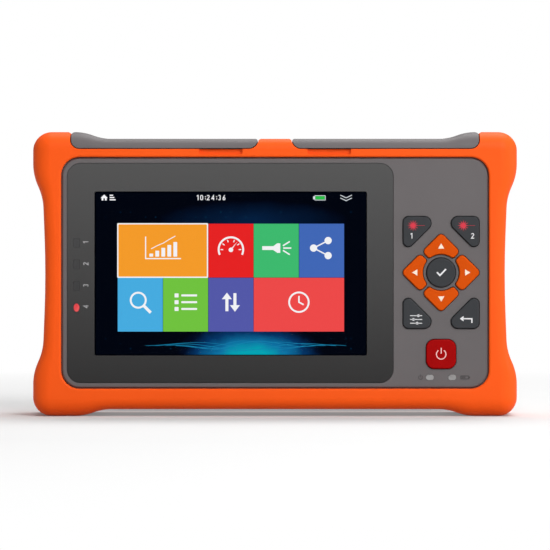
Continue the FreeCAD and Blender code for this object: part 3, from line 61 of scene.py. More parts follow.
class Nodes:
    """Short way to add and link the nodes of one material."""

    def __init__(self, name):
        self.material = bpy.data.materials.new(name)
        self.material.use_nodes = True
        self.tree = self.material.node_tree
        self.shader = self.tree.nodes["Principled BSDF"]
        self.out = self.tree.nodes["Material Output"]

    def add(self, kind, **inputs):
        """New node with its inputs set or linked."""
        node = self.tree.nodes.new(kind)
        for key, value in inputs.items():
            self.set(node, key, value)
        return node

    def set(self, node, key, value):
        """Set or link one input, named with _ for a space, or numbered as _0, _1 and so on."""
        numbered = key[0] == "_" and key[1:].isdigit()
        socket = node.inputs[int(key[1:]) if numbered else key.replace("_", " ")]
        if hasattr(value, "is_output"):
            self.tree.links.new(value, socket)
        elif isinstance(value, tuple) and len(value) == 3 and socket.type == "RGBA":
            socket.default_value = (*value, 1)
        else:
            socket.default_value = value

    def coords(self):
        """Object coordinates, in metres."""
        return self.add("ShaderNodeTexCoord").outputs["Object"]

    def axis(self, name):
        """One of the object coordinates."""
        return self.add("ShaderNodeSeparateXYZ", Vector=self.coords()).outputs[name]

    def noise(self, scale, detail=2.0, rough=0.5):
        """Soft noise; the scale is its number of waves to the metre."""
        node = self.add("ShaderNodeTexNoise", Vector=self.coords(), Scale=scale, Detail=detail,
                        Roughness=rough)
        return node.outputs["Fac"] if "Fac" in node.outputs else node.outputs[0]

    def ramp(self, fac, *stops):
        """Colour ramp with the given (position, colour) stops."""
        node = self.add("ShaderNodeValToRGB", Fac=fac)
        ramp = node.color_ramp
        while len(ramp.elements) < len(stops):
            ramp.elements.new(0.5)
        for element, (at, color) in zip(ramp.elements, stops):
            element.position = at
            element.color = (*color, 1)
        return node.outputs["Color"]

    def map(self, value, from_low, from_high, to_low, to_high):
        """Map Range, clamped."""
        node = self.add("ShaderNodeMapRange", Value=value)
        for i, limit in enumerate((from_low, from_high, to_low, to_high)):
            node.inputs[i + 1].default_value = limit
        return node.outputs["Result"]

    def gloss(self, scale, low, high):
        """Roughness that wanders between two values."""
        return self.map(self.noise(scale), *MID_NOISE, low, high)

    def tint(self, noise, low, high):
        """Colour that wanders between two colours."""
        return self.ramp(noise, (MID_NOISE[0], low), (MID_NOISE[1], high))

    def math(self, operation, a, b=None):
        """Result of a sum on one or two values."""
        node = self.add("ShaderNodeMath", _0=a)
        node.operation = operation
        if b is not None:
            self.set(node, "_1", b)
        return node.outputs[0]

    def mix(self, fac, a, b, blend="MIX"):
        """Colour mix of a and b."""
        node = self.add("ShaderNodeMix")
        node.data_type = "RGBA"
        node.blend_type = blend
        sockets = [socket for socket in node.inputs if socket.enabled]
        for socket, value in zip(sockets, (fac, a, b)):
            if hasattr(value, "is_output"):
                self.tree.links.new(value, socket)
            else:
                socket.default_value = (*value, 1) if isinstance(value, tuple) else value
        return [socket for socket in node.outputs if socket.enabled][0]

    def product(self, *values):
        """All the values multiplied."""
        result = values[0]
        for value in values[1:]:
            result = self.math("MULTIPLY", result, value)
        return result

    def ellipse(self, x, z, half_width, half_height):
        """Distance from (x, z) in an upright plane, as a share of the ellipse's half sizes, in metres."""
        u = self.math("DIVIDE", self.math("SUBTRACT", self.axis("X"), x), half_width)
        v = self.math("DIVIDE", self.math("SUBTRACT", self.axis("Z"), z), half_height)
        return self.math("SQRT", self.math("ADD", self.product(u, u), self.product(v, v)))

    def finish(self, shader):
        """Use this shader in place of the material's own."""
        self.tree.links.new(shader.outputs[0], self.out.inputs["Surface"])
        self.tree.nodes.remove(self.shader)
        return self.material

    def bump(self, height, strength, distance, edge=0.0):
        """Normal with that relief, and with edges that look rounded to the radius edge."""
        node = self.add("ShaderNodeBump", Height=height, Strength=strength, Distance=distance)
        if edge:
            bevel = self.add("ShaderNodeBevel", Radius=edge)
            bevel.samples = 4
            self.set(node, "Normal", bevel.outputs[0])
        return node.outputs["Normal"]


def moulded(name, color, rough=0.5, grain=0.5, depth=0.02, strength=0.25, mottle=0.05, edge=0.0, spec=0.22,
            metal=0.0, coat=0.0):
    """Moulded or machined surface: fine grain, slight mottling in colour and gloss, softened edges."""
    m = Nodes(name)
    s = m.shader
    broad = m.noise(35, 3.0, 0.6)
    fine = m.noise(1000 / grain, 2.0, 0.6)
    m.set(s, "Base Color", m.tint(broad, scaled(color, 1 - mottle), scaled(color, 1 + mottle)))
    m.set(s, "Roughness", m.map(fine, *MID_NOISE, rough - 0.04, rough + 0.05))
    m.set(s, "Normal", m.bump(fine, strength, depth * MM, edge * MM))
    s.inputs["Specular IOR Level"].default_value = spec
    s.inputs["Metallic"].default_value = metal
    if coat:
        s.inputs["Coat Weight"].default_value = coat
        s.inputs["Coat Roughness"].default_value = 0.15
    return m.material


RINGS_PER_UNIT = 50  # wave scale for rings 1 mm apart


def turned(name, color, rough=0.25, pitch=0.5, depth=0.05, edge=0.06, metal=1.0):
    """Turned or wound piece with fine rings along its upright axis, pitch millimetres apart."""
    m = Nodes(name)
    s = m.shader
    wave = m.add("ShaderNodeTexWave", Vector=m.coords(), Scale=RINGS_PER_UNIT / pitch, Distortion=0.0)
    wave.bands_direction = "Z"
    m.set(s, "Base Color", m.tint(m.noise(300, 3.0), scaled(color, 0.85), scaled(color, 1.05)))
    m.set(s, "Roughness", m.gloss(2000, rough - 0.05, rough + 0.08))
    m.set(s, "Normal", m.bump(wave.outputs[0], 0.6, depth * MM, edge * MM))
    s.inputs["Metallic"].default_value = metal
    return m.material


def lit_picture(m, light, pattern, low, high):
    """Lit surface on a near-black body, so that the lamps add nothing to its colours."""
    s = m.shader
    m.set(s, "Emission Color", light)
    m.set(s, "Base Color", m.tint(pattern, low, high))
    s.inputs["Emission Strength"].default_value = 1.0
    s.inputs["Roughness"].default_value = 0.6
    s.inputs["Specular IOR Level"].default_value = 0.0
    return m.material


def glowing(name, color, vary=0.03):
    """Lit display element with a faint cell pattern."""
    m = Nodes(name)
    cells = m.noise(5000, 0.0)
    light = m.tint(cells, scaled(color, 1 - vary), scaled(color, 1 + vary))
    return lit_picture(m, light, cells, (0.002, 0.002, 0.0025), (0.0024, 0.0024, 0.003))


def ink(name, color):
    """Printed mark: slightly uneven paint."""
    m = Nodes(name)
    m.set(m.shader, "Base Color", m.tint(m.noise(1500, 3.0), scaled(color, 0.93), color))
    m.set(m.shader, "Roughness", m.gloss(3000, 0.40, 0.53))
    return m.material


def board(name):
    """Green circuit board with a hint of copper tracks under the lacquer."""
    m = Nodes(name)
    s = m.shader
    brick = m.add("ShaderNodeTexBrick", Vector=m.coords(), Scale=60.0)
    m.set(brick, "Color1", (0.012, 0.11, 0.05))
    m.set(brick, "Color2", (0.016, 0.13, 0.06))
    m.set(brick, "Mortar", (0.02, 0.20, 0.09))
    m.set(s, "Base Color", brick.outputs["Color"])
    m.set(s, "Roughness", m.gloss(600, 0.28, 0.42))
    m.set(s, "Normal", m.bump(m.noise(1800), 0.2, 0.02 * MM, 0.05 * MM))
    return m.material


MATT = dict(grain=0.45, depth=0.03, strength=0.3, mottle=0.03)
KEY = dict(grain=0.4, depth=0.02, strength=0.2, mottle=0.03, edge=0.15)
METAL = dict(grain=0.3, depth=0.01, strength=0.2, metal=1.0)
POLISHED = dict(grain=0.3, depth=0.01, strength=0.1)

rubber = moulded("boot_rubber", linear(254, 91, 18), rough=0.5, grain=0.6, depth=0.03, strength=0.16,
                 mottle=0.02, edge=0.25, spec=0.14)
housing_grey = moulded("housing_grey", linear(103, 99, 100), rough=0.5, edge=0.2, **MATT)
flap_grey = moulded("flap_grey", linear(104, 99, 100), rough=0.48, edge=0.3, **MATT)
stand_grey = moulded("stand_grey", linear(96, 93, 95), rough=0.5, edge=0.3, **MATT)
key_grey = moulded("key_grey", linear(57, 59, 62), rough=0.5, spec=0.12, **dict(KEY, mottle=0.04))
key_orange = moulded("key_orange", linear(214, 80, 4), rough=0.48, spec=0.06, **KEY)
key_red = moulded("key_red", linear(160, 2, 3), rough=0.46, spec=0.06, **KEY)
black_plastic = moulded("black_plastic", linear(38, 38, 40), rough=0.45, grain=0.4, edge=0.1)
black_foam = moulded("black_foam", linear(24, 24, 25), rough=0.85, grain=0.3, depth=0.08, strength=0.6)
mat_rubber = moulded("mat_rubber", linear(70, 70, 72), rough=0.65, depth=0.03, strength=0.3, edge=0.1)
steel = moulded("steel", linear(168, 168, 170), rough=0.3, edge=0.08, **METAL)
sheet_metal = moulded("sheet_metal", linear(186, 187, 189), rough=0.34, edge=0.1, **METAL)
brass = moulded("brass", linear(212, 175, 98), rough=0.28, edge=0.08, **METAL)
gold = moulded("gold", linear(228, 190, 104), rough=0.22, **dict(METAL, strength=0.1))
nickel = turned("nickel", linear(196, 194, 188), rough=0.22, pitch=0.5, depth=0.12)
turned_grey = turned("turned_grey", linear(150, 150, 152), rough=0.32, pitch=0.6, depth=0.06)
fibre_yellow = turned("fibre_yellow", linear(216, 190, 70), rough=0.4, pitch=0.9, depth=0.08, metal=0.0)
ceramic = moulded("ceramic", linear(232, 230, 222), rough=0.25, mottle=0.02, edge=0.08, coat=0.3, **POLISHED)
lamp_lens = moulded("lamp_lens", linear(240, 238, 220), rough=0.3, mottle=0.02, **POLISHED)
pack_wrap = moulded("pack_wrap", linear(30, 66, 140), rough=0.3, grain=2.0, depth=0.1, strength=0.2,
                    mottle=0.06, edge=0.3, coat=0.4)
green_board = board("green_board")
white_ink = ink("white_ink", linear(236, 236, 238))
cream_ink = ink("cream_ink", linear(252, 234, 214))
pale_ink = ink("pale_ink", linear(176, 176, 178))
red_ink = ink("red_ink", linear(214, 34, 58))
pink_ink = ink("pink_ink", linear(248, 196, 192))

LENS_SHADE = (13 * MM, 101 * MM)  # heights between which the lens's painted shading grows lighter towards the top
SPOT_HALF_WIDTH = 1.12 * MM
SPOT_HALF_HEIGHT = 1.6 * MM
SPOT_RISE = 1.8 * MM


def lens_material():
    """Dark printed sheet, with painted shading that makes it a little lighter towards its top."""
    m = Nodes("lens_dark")
    s = m.shader
    # Painted shading: the print's colour grows lighter with height.
    height = m.map(m.axis("Z"), *LENS_SHADE, 0.0, 1.0)
    m.set(s, "Base Color", m.ramp(height, (0.0, linear(44, 44, 44)), (1.0, linear(80, 80, 80))))
    m.set(s, "Roughness", m.gloss(2200, 0.34, 0.42))
    m.set(s, "Normal", m.bump(m.noise(1600), 0.12, 0.02 * MM, 0.12 * MM))
    s.inputs["Specular IOR Level"].default_value = 0.2
    return m.material


def touch_material():
    """Clear sheet over the screen: mostly see-through, with a soft gloss."""
    m = Nodes("touch_clear")
    clear = m.add("ShaderNodeBsdfTransparent")
    clear.inputs["Color"].default_value = (0.985, 0.985, 0.99, 1)
    gloss = m.add("ShaderNodeBsdfGlossy")
    m.set(gloss, "Roughness", m.gloss(1500, 0.10, 0.16))
    fresnel = m.add("ShaderNodeFresnel", IOR=1.06)
    return m.finish(m.add("ShaderNodeMixShader", _0=fresnel.outputs[0], _1=clear.outputs[0],
                          _2=gloss.outputs[0]))


def indicator_material():
    """Four small windows as dark as the lens and with its painted shading, lighter towards the top, with a
    spot in the lowest lit red.
    """
    m = Nodes("indicator_tint")
    s = m.shader
    low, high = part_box("indicator_windows")
    spread = m.ellipse((low.x + high.x) / 2, low.z + SPOT_RISE, SPOT_HALF_WIDTH, SPOT_HALF_HEIGHT)
    lit = m.map(spread, 0.88, 1.12, 1.0, 0.0)
    # Painted shading, as on the lens: darker at the bottom, lighter at the top.
    height = m.map(m.axis("Z"), *LENS_SHADE, 0.0, 1.0)
    dark = m.ramp(height, (0.0, linear(42, 42, 43)), (1.0, linear(76, 76, 77)))
    red = m.tint(m.noise(300), linear(196, 60, 66), linear(222, 96, 96))
    m.set(s, "Base Color", m.mix(lit, dark, red))
    m.set(s, "Emission Color", m.mix(lit, (0, 0, 0), linear(180, 40, 44)))
    s.inputs["Emission Strength"].default_value = 0.45
    m.set(s, "Roughness", m.gloss(2200, 0.34, 0.42))
    s.inputs["Specular IOR Level"].default_value = 0.2
    return m.material


def status_material():
    """Milky light pipe."""
    m = Nodes("status_milky")
    s = m.shader
    m.set(s, "Base Color", m.tint(m.noise(400), linear(142, 141, 141), linear(160, 159, 159)))
    m.set(s, "Roughness", m.gloss(1500, 0.3, 0.4))
    s.inputs["Subsurface Weight"].default_value = 0.2
    s.inputs["Subsurface Radius"].default_value = (MM, MM, MM)
    return m.material


# Each material and the nodes that wear it.
WEARERS = (
    (rubber, "rubber_boot"),
    (housing_grey, "front_housing rear_housing battery_cover"),
    (flap_grey, "port_flap_left port_flap_right"),
    (stand_grey, "kickstand"),
    (key_grey, "key_ok key_laser_manual key_laser_auto key_setup key_escape"),
    (key_orange, "key_up key_left key_down key_right"),
    (key_red, "key_power"),
    (lens_material(), "front_lens"),
    (touch_material(), "touch_panel"),
    (indicator_material(), "indicator_windows"),
    (status_material(), "status_windows"),
    (black_plastic, "display_panel optical_port_tray data_port_tray"),
    (black_plastic, "lan_socket usb_socket_tongue charge_socket"),
    (black_foam, "case_seal display_gasket"),
    (mat_rubber, "keypad_mat"),
    (steel, "flap_hinge_pins case_screws small_screws adapter_screws"),
    (steel, "charge_pin kickstand_pins cover_screws"),
    (sheet_metal, "display_bracket main_board_parts key_domes usb_socket_shell optical_module"),
    (brass, "board_standoffs"),
    (gold, "meter_detector lan_contacts battery_contacts"),
    (nickel, "test_port_adapter adapter_nuts"),
    (turned_grey, "meter_port_adapter locator_port_adapter fibre_spool"),
    (fibre_yellow, "optical_fibre"),
    (ceramic, "ferrule_sleeves"),
    (lamp_lens, "lamps"),
    (pack_wrap, "battery_pack"),
    (green_board, "main_board indicator_board key_board port_board"),
)
DRESS = {name: material for material, names in WEARERS for name in names.split()}


def smooth(obj, angle=32):
    """Smooth shading that keeps edges sharper than the angle."""
    mesh = obj.data
    mesh.polygons.foreach_set("use_smooth", [True] * len(mesh.polygons))
    mesh.set_sharp_from_angle(angle=math.radians(angle))


for name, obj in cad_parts.items():
    obj.data.materials.clear()
    obj.data.materials.append(DRESS[name])
    smooth(obj)


# ---------------------------------------------------------------- flat shapes, in millimetres
# A loop is a list of (x, z), a group is a list of loops filled together, holes included.
def arc(x, z, r, start, end, steps=16):
    """Points of an arc between two angles in degrees."""
    return [(x + r * math.cos(math.radians(start + (end - start) * i / steps)),
             z + r * math.sin(math.radians(start + (end - start) * i / steps))) for i in range(steps + 1)]


def disc(x, z, r, steps=28):
    """Group with one full circle."""
    return [arc(x, z, r, 0, 360, steps)[:-1]]


def box2(x0, z0, x1, z1, r=0.0):
    """Rectangle between two corners, with corners rounded to r."""
    if not r:
        return [(x0, z0), (x1, z0), (x1, z1), (x0, z1)]
    return (arc(x0 + r, z0 + r, r, 180, 270, 6) + arc(x1 - r, z0 + r, r, 270, 360, 6)
            + arc(x1 - r, z1 - r, r, 0, 90, 6) + arc(x0 + r, z1 - r, r, 90, 180, 6))


SHARPEST_MITRE = 0.35  # keeps the corners of a ribbon from running out to long points


def stroke(points, width, closed=False):
    """Ribbon of that width along the points, with mitred corners."""
    n = len(points)
    left, right = [], []
    for i, p in enumerate(points):
        here = Vector(p)
        before = Vector(points[i - 1]) if i or closed else None
        after = Vector(points[(i + 1) % n]) if i < n - 1 or closed else None
        a = (here - before).normalized() if before is not None else (after - here).normalized()
        b = (after - here).normalized() if after is not None else a
        normal = Vector((-(a.y + b.y), a.x + b.x)).normalized()
        reach = width / 2 / max(SHARPEST_MITRE, normal.dot(Vector((-a.y, a.x))))
        left.append(tuple(here + normal * reach))
        right.append(tuple(here - normal * reach))
    return [left, right] if closed else [left + right[::-1]]


def star(x, z, outer, inner, points):
    """Group with one star between two radii."""
    loop = []
    for i in range(points * 2):
        r = inner if i % 2 else outer
        a = math.pi * i / points
        loop.append((x + r * math.cos(a), z + r * math.sin(a)))
    return [loop]


def moved(groups, dx, dz, k=1.0, turn=0.0):
    """Groups of loops, turned, scaled and moved."""
    c, s = math.cos(math.radians(turn)), math.sin(math.radians(turn))
    return [[[(dx + k * (x * c - z * s), dz + k * (x * s + z * c)) for x, z in loop] for loop in loops]
            for loops in groups]


def flat_piece(name, groups, y, thickness, material, body):
    """One mesh from groups of loops, standing from depth y towards the viewer by the thickness."""
    verts, faces = [], []
    for loops in groups:
        curve = bpy.data.curves.new(name, "CURVE")
        curve.dimensions = "2D"
        curve.fill_mode = "BOTH"
        curve.extrude = thickness * MM / 2
        for loop in loops:
            spline = curve.splines.new("POLY")
            spline.points.add(len(loop) - 1)
            for point, (x, z) in zip(spline.points, loop):
                point.co = (x * MM, z * MM, 0, 1)
            spline.use_cyclic_u = True
        holder = bpy.data.objects.new(name, curve)
        bpy.context.scene.collection.objects.link(holder)
        bpy.context.view_layer.update()
        mesh = bpy.data.meshes.new_from_object(holder.evaluated_get(bpy.context.evaluated_depsgraph_get()))
        start = len(verts)
        verts += [(v.co.x, (y - thickness / 2) * MM - v.co.z, v.co.y) for v in mesh.vertices]
        faces += [[start + i for i in p.vertices] for p in mesh.polygons]
        bpy.data.objects.remove(holder)
        bpy.data.curves.remove(curve)
        bpy.data.meshes.remove(mesh)
    mesh = bpy.data.meshes.new(name)
    mesh.from_pydata(verts, [], faces)
    mesh.materials.append(material)
    obj = bpy.data.objects.new(name, mesh)
    bpy.context.scene.collection.objects.link(obj)
    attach(obj, body)


DIGIT_WIDTH = 0.56
DIGIT_STROKE = 0.15
DIGIT_STEP = 0.72                    # from one digit to the next
NARROW_STEPS = {":": 0.3, "1": 0.6}  # the same after a narrow one
DIGIT_GAP = 0.14


def digit_forms():
    """Strokes of each digit, in a box of height 1 that starts at (0, 0)."""
    w = DIGIT_WIDTH
    t = DIGIT_STROKE
    mid = w / 2
    bend = mid - t / 2
    ring = arc(mid, 1 - mid, bend, 0, 180, 10) + arc(mid, mid, bend, 180, 360, 10)
    return {
        "0": [stroke(ring, t, True)],
        "1": [stroke([(0.08, 0.78), (0.34, 0.93), (0.34, 0)], t)],
        "2": [stroke(arc(mid, 1 - mid, bend, 165, -35, 10) + [(0.07, t / 2), (w, t / 2)], t)],
        "3": [stroke(arc(mid, 0.745, 0.19, 150, -80, 10), t),
              stroke(arc(mid - 0.01, 0.27, 0.2, 80, -150, 10), t)],
        "4": [stroke([(0.42, 0), (0.42, 0.93), (0.06, 0.3), (w + 0.02, 0.3)], t)],
        "6": [stroke(arc(mid, mid, bend, 0, 360, 18)[:-1], t, True), stroke([(0.12, 0.42), (0.4, 0.98)], t)],
        ":": [disc(0.12, 0.68, 0.1, 10), disc(0.12, 0.26, 0.1, 10)],
    }


def digits(text, x, z, height, turn=0.0, spacing=1.0):
    """Groups of loops for plain digits, centred on (x, z)."""
    forms = digit_forms()
    groups, at = [], 0.0
    for character in text:
        groups += moved(forms[character], at, 0)
        at += NARROW_STEPS.get(character, DIGIT_STEP) * spacing
    groups = moved(groups, -(at - DIGIT_GAP) / 2, -0.5)
    return moved(groups, x, z, height, turn)


# ---------------------------------------------------------------- screen picture
# Its places are in millimetres from the lower left corner of the lit screen.
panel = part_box("display_panel")[0] / MM
SCREEN_LEFT = panel.x + 4.5
SCREEN_BOTTOM = panel.z + 5.5
SCREEN_W = 108.0
SCREEN_H = 64.8
LAYER_STEP = 0.03
TILE_W = 18.1
TILE_H = SCREEN_H / 3
TILE_INSET = 0.07
TILE_LEFT = 8.8
TILE_TOP = 52.35
BAR_Z = 62.7
GLOW_X = (SCREEN_LEFT + 62.15) * MM
RISING_Z = (SCREEN_BOTTOM - 2.1) * MM
ABOVE_Z = (SCREEN_BOTTOM + 53.4) * MM


def wallpaper_material():
    """Night-blue ground with a teal glow that rises from the lower edge and a faint one over the tiles."""
    m = Nodes("wallpaper")
    cloud = m.noise(120, 4.0, 0.6)
    low = m.math("ADD", m.ellipse(GLOW_X, RISING_Z, 35 * MM, 18 * MM), m.product(cloud, 0.25))
    high = m.math("ADD", m.ellipse(GLOW_X, ABOVE_Z, 46 * MM, 10 * MM), m.product(cloud, 0.3))
    rising = m.ramp(low, (0.34, linear(4, 164, 178)), (0.56, linear(14, 112, 160)),
                    (0.74, linear(5, 52, 100)), (0.92, linear(2, 12, 34)), (1.0, linear(1, 4, 14)))
    above = m.ramp(high, (0.2, linear(4, 30, 62)), (1.0, linear(1, 2, 9)))
    light = m.mix(1.0, rising, above, "LIGHTEN")
    return lit_picture(m, light, cloud, (0.0003, 0.0003, 0.0004), (0.0005, 0.0005, 0.0006))


def picture(name, groups, layer, material, thickness=0.01):
    """One element of the picture, in a layer that lies nearer to the viewer the higher its number."""
    y = panel.y - 0.01 - LAYER_STEP * layer
    flat_piece(name, moved(groups, SCREEN_LEFT, SCREEN_BOTTOM), y, thickness, material, CASE)


picture("screen_wallpaper", [[box2(0, 0, SCREEN_W, SCREEN_H)]], 0, wallpaper_material(), 0.02)
teal = glowing("picture_teal", linear(20, 132, 176))
dim_teal = glowing("picture_dim_teal", linear(8, 66, 98))
white_lit = glowing("picture_white", linear(244, 244, 246))
soft_white = glowing("picture_soft_white", linear(214, 220, 226))
green_lit = glowing("picture_green", linear(40, 190, 70))

WAVES = 5
WAVE_STEPS = 48
WAVE_Z = 3.6
WAVE_SWING = 1.9
WAVE_LAYER = 2 / 15


def wave(i):
    """One of the light lines that swing across the lower part of the picture."""
    left = 20 + 4 * i
    right = SCREEN_W - 8 - 4 * i
    points = []
    for k in range(WAVE_STEPS + 1):
        share = k / WAVE_STEPS
        swing = math.sin(math.pi * share) * math.sin(2 * math.pi * (1.2 * share + 0.17 * i))
        points.append((left + (right - left) * share, WAVE_Z + WAVE_SWING * swing))
    return stroke(points, 0.14 + 0.05 * (i % 2))


def specks():
    """Faint dots scattered by a fixed rule over and under the tiles."""
    dots = []
    for i in range(40):
        x = 4 + (37 * i * i + 11 * i) % 100
        z = (1.4 + (5 * i) % 6) if i % 2 else (54.9 + (3 * i) % 4)
        dots.append(disc(x, z, 0.12 + 0.05 * (i % 3), 10))
    return dots


for i in range(WAVES):
    picture("screen_wave_%d" % i, [wave(i)], 1 + WAVE_LAYER * i, teal)
picture("screen_dots", specks(), 1, dim_teal)

# Menu of the screen: each tile's picture, its colour, its column, its row and how many columns it takes.
TILES = (
    ("chart", (245, 155, 40), 0, 0, 2),
    ("dial", (230, 33, 33), 2, 0, 1),
    ("torch", (61, 186, 110), 3, 0, 1),
    ("links", (64, 103, 182), 4, 0, 1),
    ("lens", (70, 172, 224), 0, 1, 1),
    ("list", (112, 195, 62), 1, 1, 1),
    ("transfer", (83, 88, 168), 2, 1, 1),
    ("clock", (238, 73, 72), 3, 1, 2),
)


def tile_middle(column, row, span):
    """Middle of a tile on the screen."""
    return TILE_LEFT + (column + span / 2) * TILE_W, TILE_TOP - (row + 0.5) * TILE_H


for name, color, column, row, span in TILES:
    x, z = tile_middle(column, row, span)
    half_w = TILE_W * span / 2 - TILE_INSET
    half_h = TILE_H / 2 - TILE_INSET
    tint = glowing("tile_tint_" + name, linear(*color), vary=0.015)
    picture("tile_" + name, [[box2(x - half_w, z - half_h, x + half_w, z + half_h)]], 2, tint, 0.02)

x, z = tile_middle(*TILES[0][2:])
frame_out = box2(x - TILE_W - 0.15, z - TILE_H / 2 - 0.1, x + TILE_W - 0.05, z + TILE_H / 2 + 0.15, 0.4)
frame_in = box2(x - TILE_W + 0.35, z - TILE_H / 2 + 0.4, x + TILE_W - 0.55, z + TILE_H / 2 - 0.35, 0.25)
picture("tile_frame", [[frame_out, frame_in]], 3, white_lit)


def icon_chart():
    """Axes with rising bars and a line over them."""
    bars = [[box2(-5.4 + 2.4 * i, -3.4, -3.9 + 2.4 * i, -2.2 + 1.15 * i, 0.15)] for i in range(5)]
    axes = stroke([(-6.9, 4.6), (-6.9, -4.2), (7.2, -4.2)], 0.45)
    line = stroke([(-4.7, -0.3), (-2.2, 1.0), (0.2, 2.0), (2.6, 3.5), (5.0, 4.8)], 0.32)
    return bars + [axes, line]


def icon_dial():
    """Round scale with ticks and a needle."""
    groups = [stroke(arc(0, -0.6, 4.9, 205, -25, 30), 0.75)]
    for angle in (180, 145, 110, 70, 35, 0):
        ends = [arc(0, -0.6, r, angle, angle, 1)[0] for r in (4.1, 3.1)]
        groups.append(stroke(ends, 0.4))
    groups.append([[(-0.55, -0.9), (0.5, -0.4), (2.6, 2.6)]])
    groups.append(disc(0, -0.7, 0.9))
    return groups


def icon_torch():
    """Torch with three rays."""
    body = [[(-5.6, -0.75), (-1.2, -0.75), (0.4, -1.9), (1.6, -1.9), (1.6, 1.9), (0.4, 1.9), (-1.2, 0.75),
             (-5.6, 0.75)]]
    groups = [body]
    for angle in (-32, 0, 32):
        c = math.cos(math.radians(angle))
        s = math.sin(math.radians(angle))
        groups.append(stroke([(2.0 + 0.8 * c, 1.74 * s), (2.0 + 4.0 * c, 4.94 * s)], 0.55))
    return groups


def icon_links():
    """Three joined knots."""
    knots = [(-3.2, 0.0), (2.6, 3.0), (2.6, -3.0)]
    lines = [stroke([knots[0], knot], 0.5) for knot in knots[1:]]
    return lines + [disc(x, z, 1.45) for x, z in knots]


def icon_lens():
    """Magnifying glass."""
    rim = stroke(arc(-0.8, 0.8, 3.0, 0, 360, 30)[:-1], 0.75, True)
    return [rim, stroke([(1.5, -1.5), (4.2, -4.2)], 1.15)]


def icon_list():
    """Three rows with a box before each."""
    groups = []
    for z in (2.7, 0, -2.7):
        groups += [[box2(-4.4, z - 0.8, -2.8, z + 0.8, 0.2)], [box2(-1.7, z - 0.4, 4.6, z + 0.4, 0.2)]]
    return groups


def icon_transfer():
    """An arrow up beside an arrow down."""
    up = [[(-2.2, -3.6), (-2.2, 1.2), (-3.6, 1.2), (-1.6, 3.8), (0.4, 1.2), (-1.0, 1.2), (-1.0, -3.6)]]
    return [up] + moved([up], 0, 0, 1.0, 180)


def icon_clock():
    """Clock face with two hands."""
    return [stroke(arc(0, 0, 3.9, 0, 360, 36)[:-1], 0.7, True), stroke([(0, 2.5), (0, 0), (1.9, -1.0)], 0.6)]


ICONS = {"chart": icon_chart(), "dial": icon_dial(), "torch": icon_torch(), "links": icon_links(),
         "lens": icon_lens(), "list": icon_list(), "transfer": icon_transfer(), "clock": icon_clock()}
ICON_LIFT = 1.0
for name, _, column, row, span in TILES:
    x, z = tile_middle(column, row, span)
    picture("icon_" + name, moved(ICONS[name], x, z + ICON_LIFT), 3, white_lit)

# Status bar: house with rows, clock, battery and a double chevron.
half_house = [(1.7, -0.2), (1.2, -0.2), (1.2, -1.35), (0.35, -1.35), (0.35, -0.35)]
house = [[[(0, 1.45)] + half_house + [(-x, z) for x, z in reversed(half_house)]]]
rows = [[box2(2.6, -1.3 + 1.05 * i, 5.4 - 0.6 * i, -0.75 + 1.05 * i)] for i in range(3)]
picture("screen_home", moved(house + rows, 3.45, BAR_Z, 0.85), 3, white_lit)
picture("screen_clock", digits("10:24:36", 46.25, BAR_Z, 2.1, spacing=1.22), 3, white_lit)
cell = [[box2(-2.8, -0.6, -2.2, 0.6)], [box2(-2.2, -1.0, 2.2, 1.0, 0.2), box2(-1.95, -0.75, 1.95, 0.75)]]
CELL_PLACE = (89.65, BAR_Z - 0.1)
picture("screen_battery", moved(cell, *CELL_PLACE), 3, soft_white)
picture("screen_charge", moved([[box2(-1.85, -0.65, 1.85, 0.65)]], *CELL_PLACE), 4, green_lit)
chevron = [(-2.3, 1.0), (0, -0.1), (2.3, 1.0)]
chevrons = [stroke([(x, z - drop) for x, z in chevron], 0.3) for drop in (0, 1.15)]
picture("screen_chevrons", moved(chevrons, 100.05, BAR_Z), 3, soft_white)


# ---------------------------------------------------------------- marks on the keys and the case
def key_top(node):
    """Middle of a key's face and its depth, in millimetres."""
    low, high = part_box(node)
    return (low.x + high.x) / 2 / MM, (low.z + high.z) / 2 / MM, low.y / MM


def key_mark(name, node, groups, material):
    """Print on a key, which rides on that key."""
    flat_piece(name, groups, key_top(node)[2], 0.03, material, node)


PAD_X, PAD_Z, _ = key_top("key_ok")
for turn, node in ((0, "key_up"), (90, "key_left"), (180, "key_down"), (270, "key_right")):
    triangle = [[[(-1.25, 9.5), (1.25, 9.5), (0, 11.6)]]]
    key_mark("mark_" + node, node, moved(triangle, PAD_X, PAD_Z, 1.0, turn), cream_ink)
tick = stroke([(-1.7, 0.1), (-0.5, -1.15), (1.9, 1.35)], 0.62)
key_mark("mark_key_ok", "key_ok", moved([tick], PAD_X, PAD_Z), white_ink)
BURST_Z = PAD_Z + 18.7
NUMBER_Z = PAD_Z + 14.6
for node, dx, number_dx, number in (("key_laser_manual", -11.175, -11.875, "1"),
                                    ("key_laser_auto", 8.825, 12.525, "2")):
    burst = [star(0, 0, 2.3, 0.85, 12), stroke([(2.3, 0), (4.7, 0)], 0.1)]
    key_mark("mark_burst_" + number, node, moved(burst, PAD_X + dx, BURST_Z), red_ink)
    key_mark("mark_number_" + number, node, digits(number, PAD_X + number_dx, NUMBER_Z, 2.2), white_ink)
sliders = []
for z, knob in ((1.5, 0.9), (0.0, -1.1), (-1.5, 0.4)):
    sliders += [stroke([(-2.4, z), (2.4, z)], 0.3), disc(knob, z, 0.55, 16)]
key_mark("mark_key_setup", "key_setup", moved(sliders, PAD_X - 9.975, PAD_Z - 18.7), white_ink)
back = [stroke([(2.2, -1.3), (2.2, 0.4), (-1.4, 0.4)], 0.5), [[(-2.6, 0.4), (-1.1, 1.5), (-1.1, -0.7)]]]
key_mark("mark_key_escape", "key_escape", moved(back, PAD_X + 10.025, PAD_Z - 18.8), white_ink)
power_x, power_z, _ = key_top("key_power")
power = [stroke(arc(0, 0, 1.9, 125, 415, 34), 0.4), stroke([(0, 0.3), (0, 2.6)], 0.4)]
key_mark("mark_key_power", "key_power", moved(power, power_x, power_z - 0.1), pink_ink)

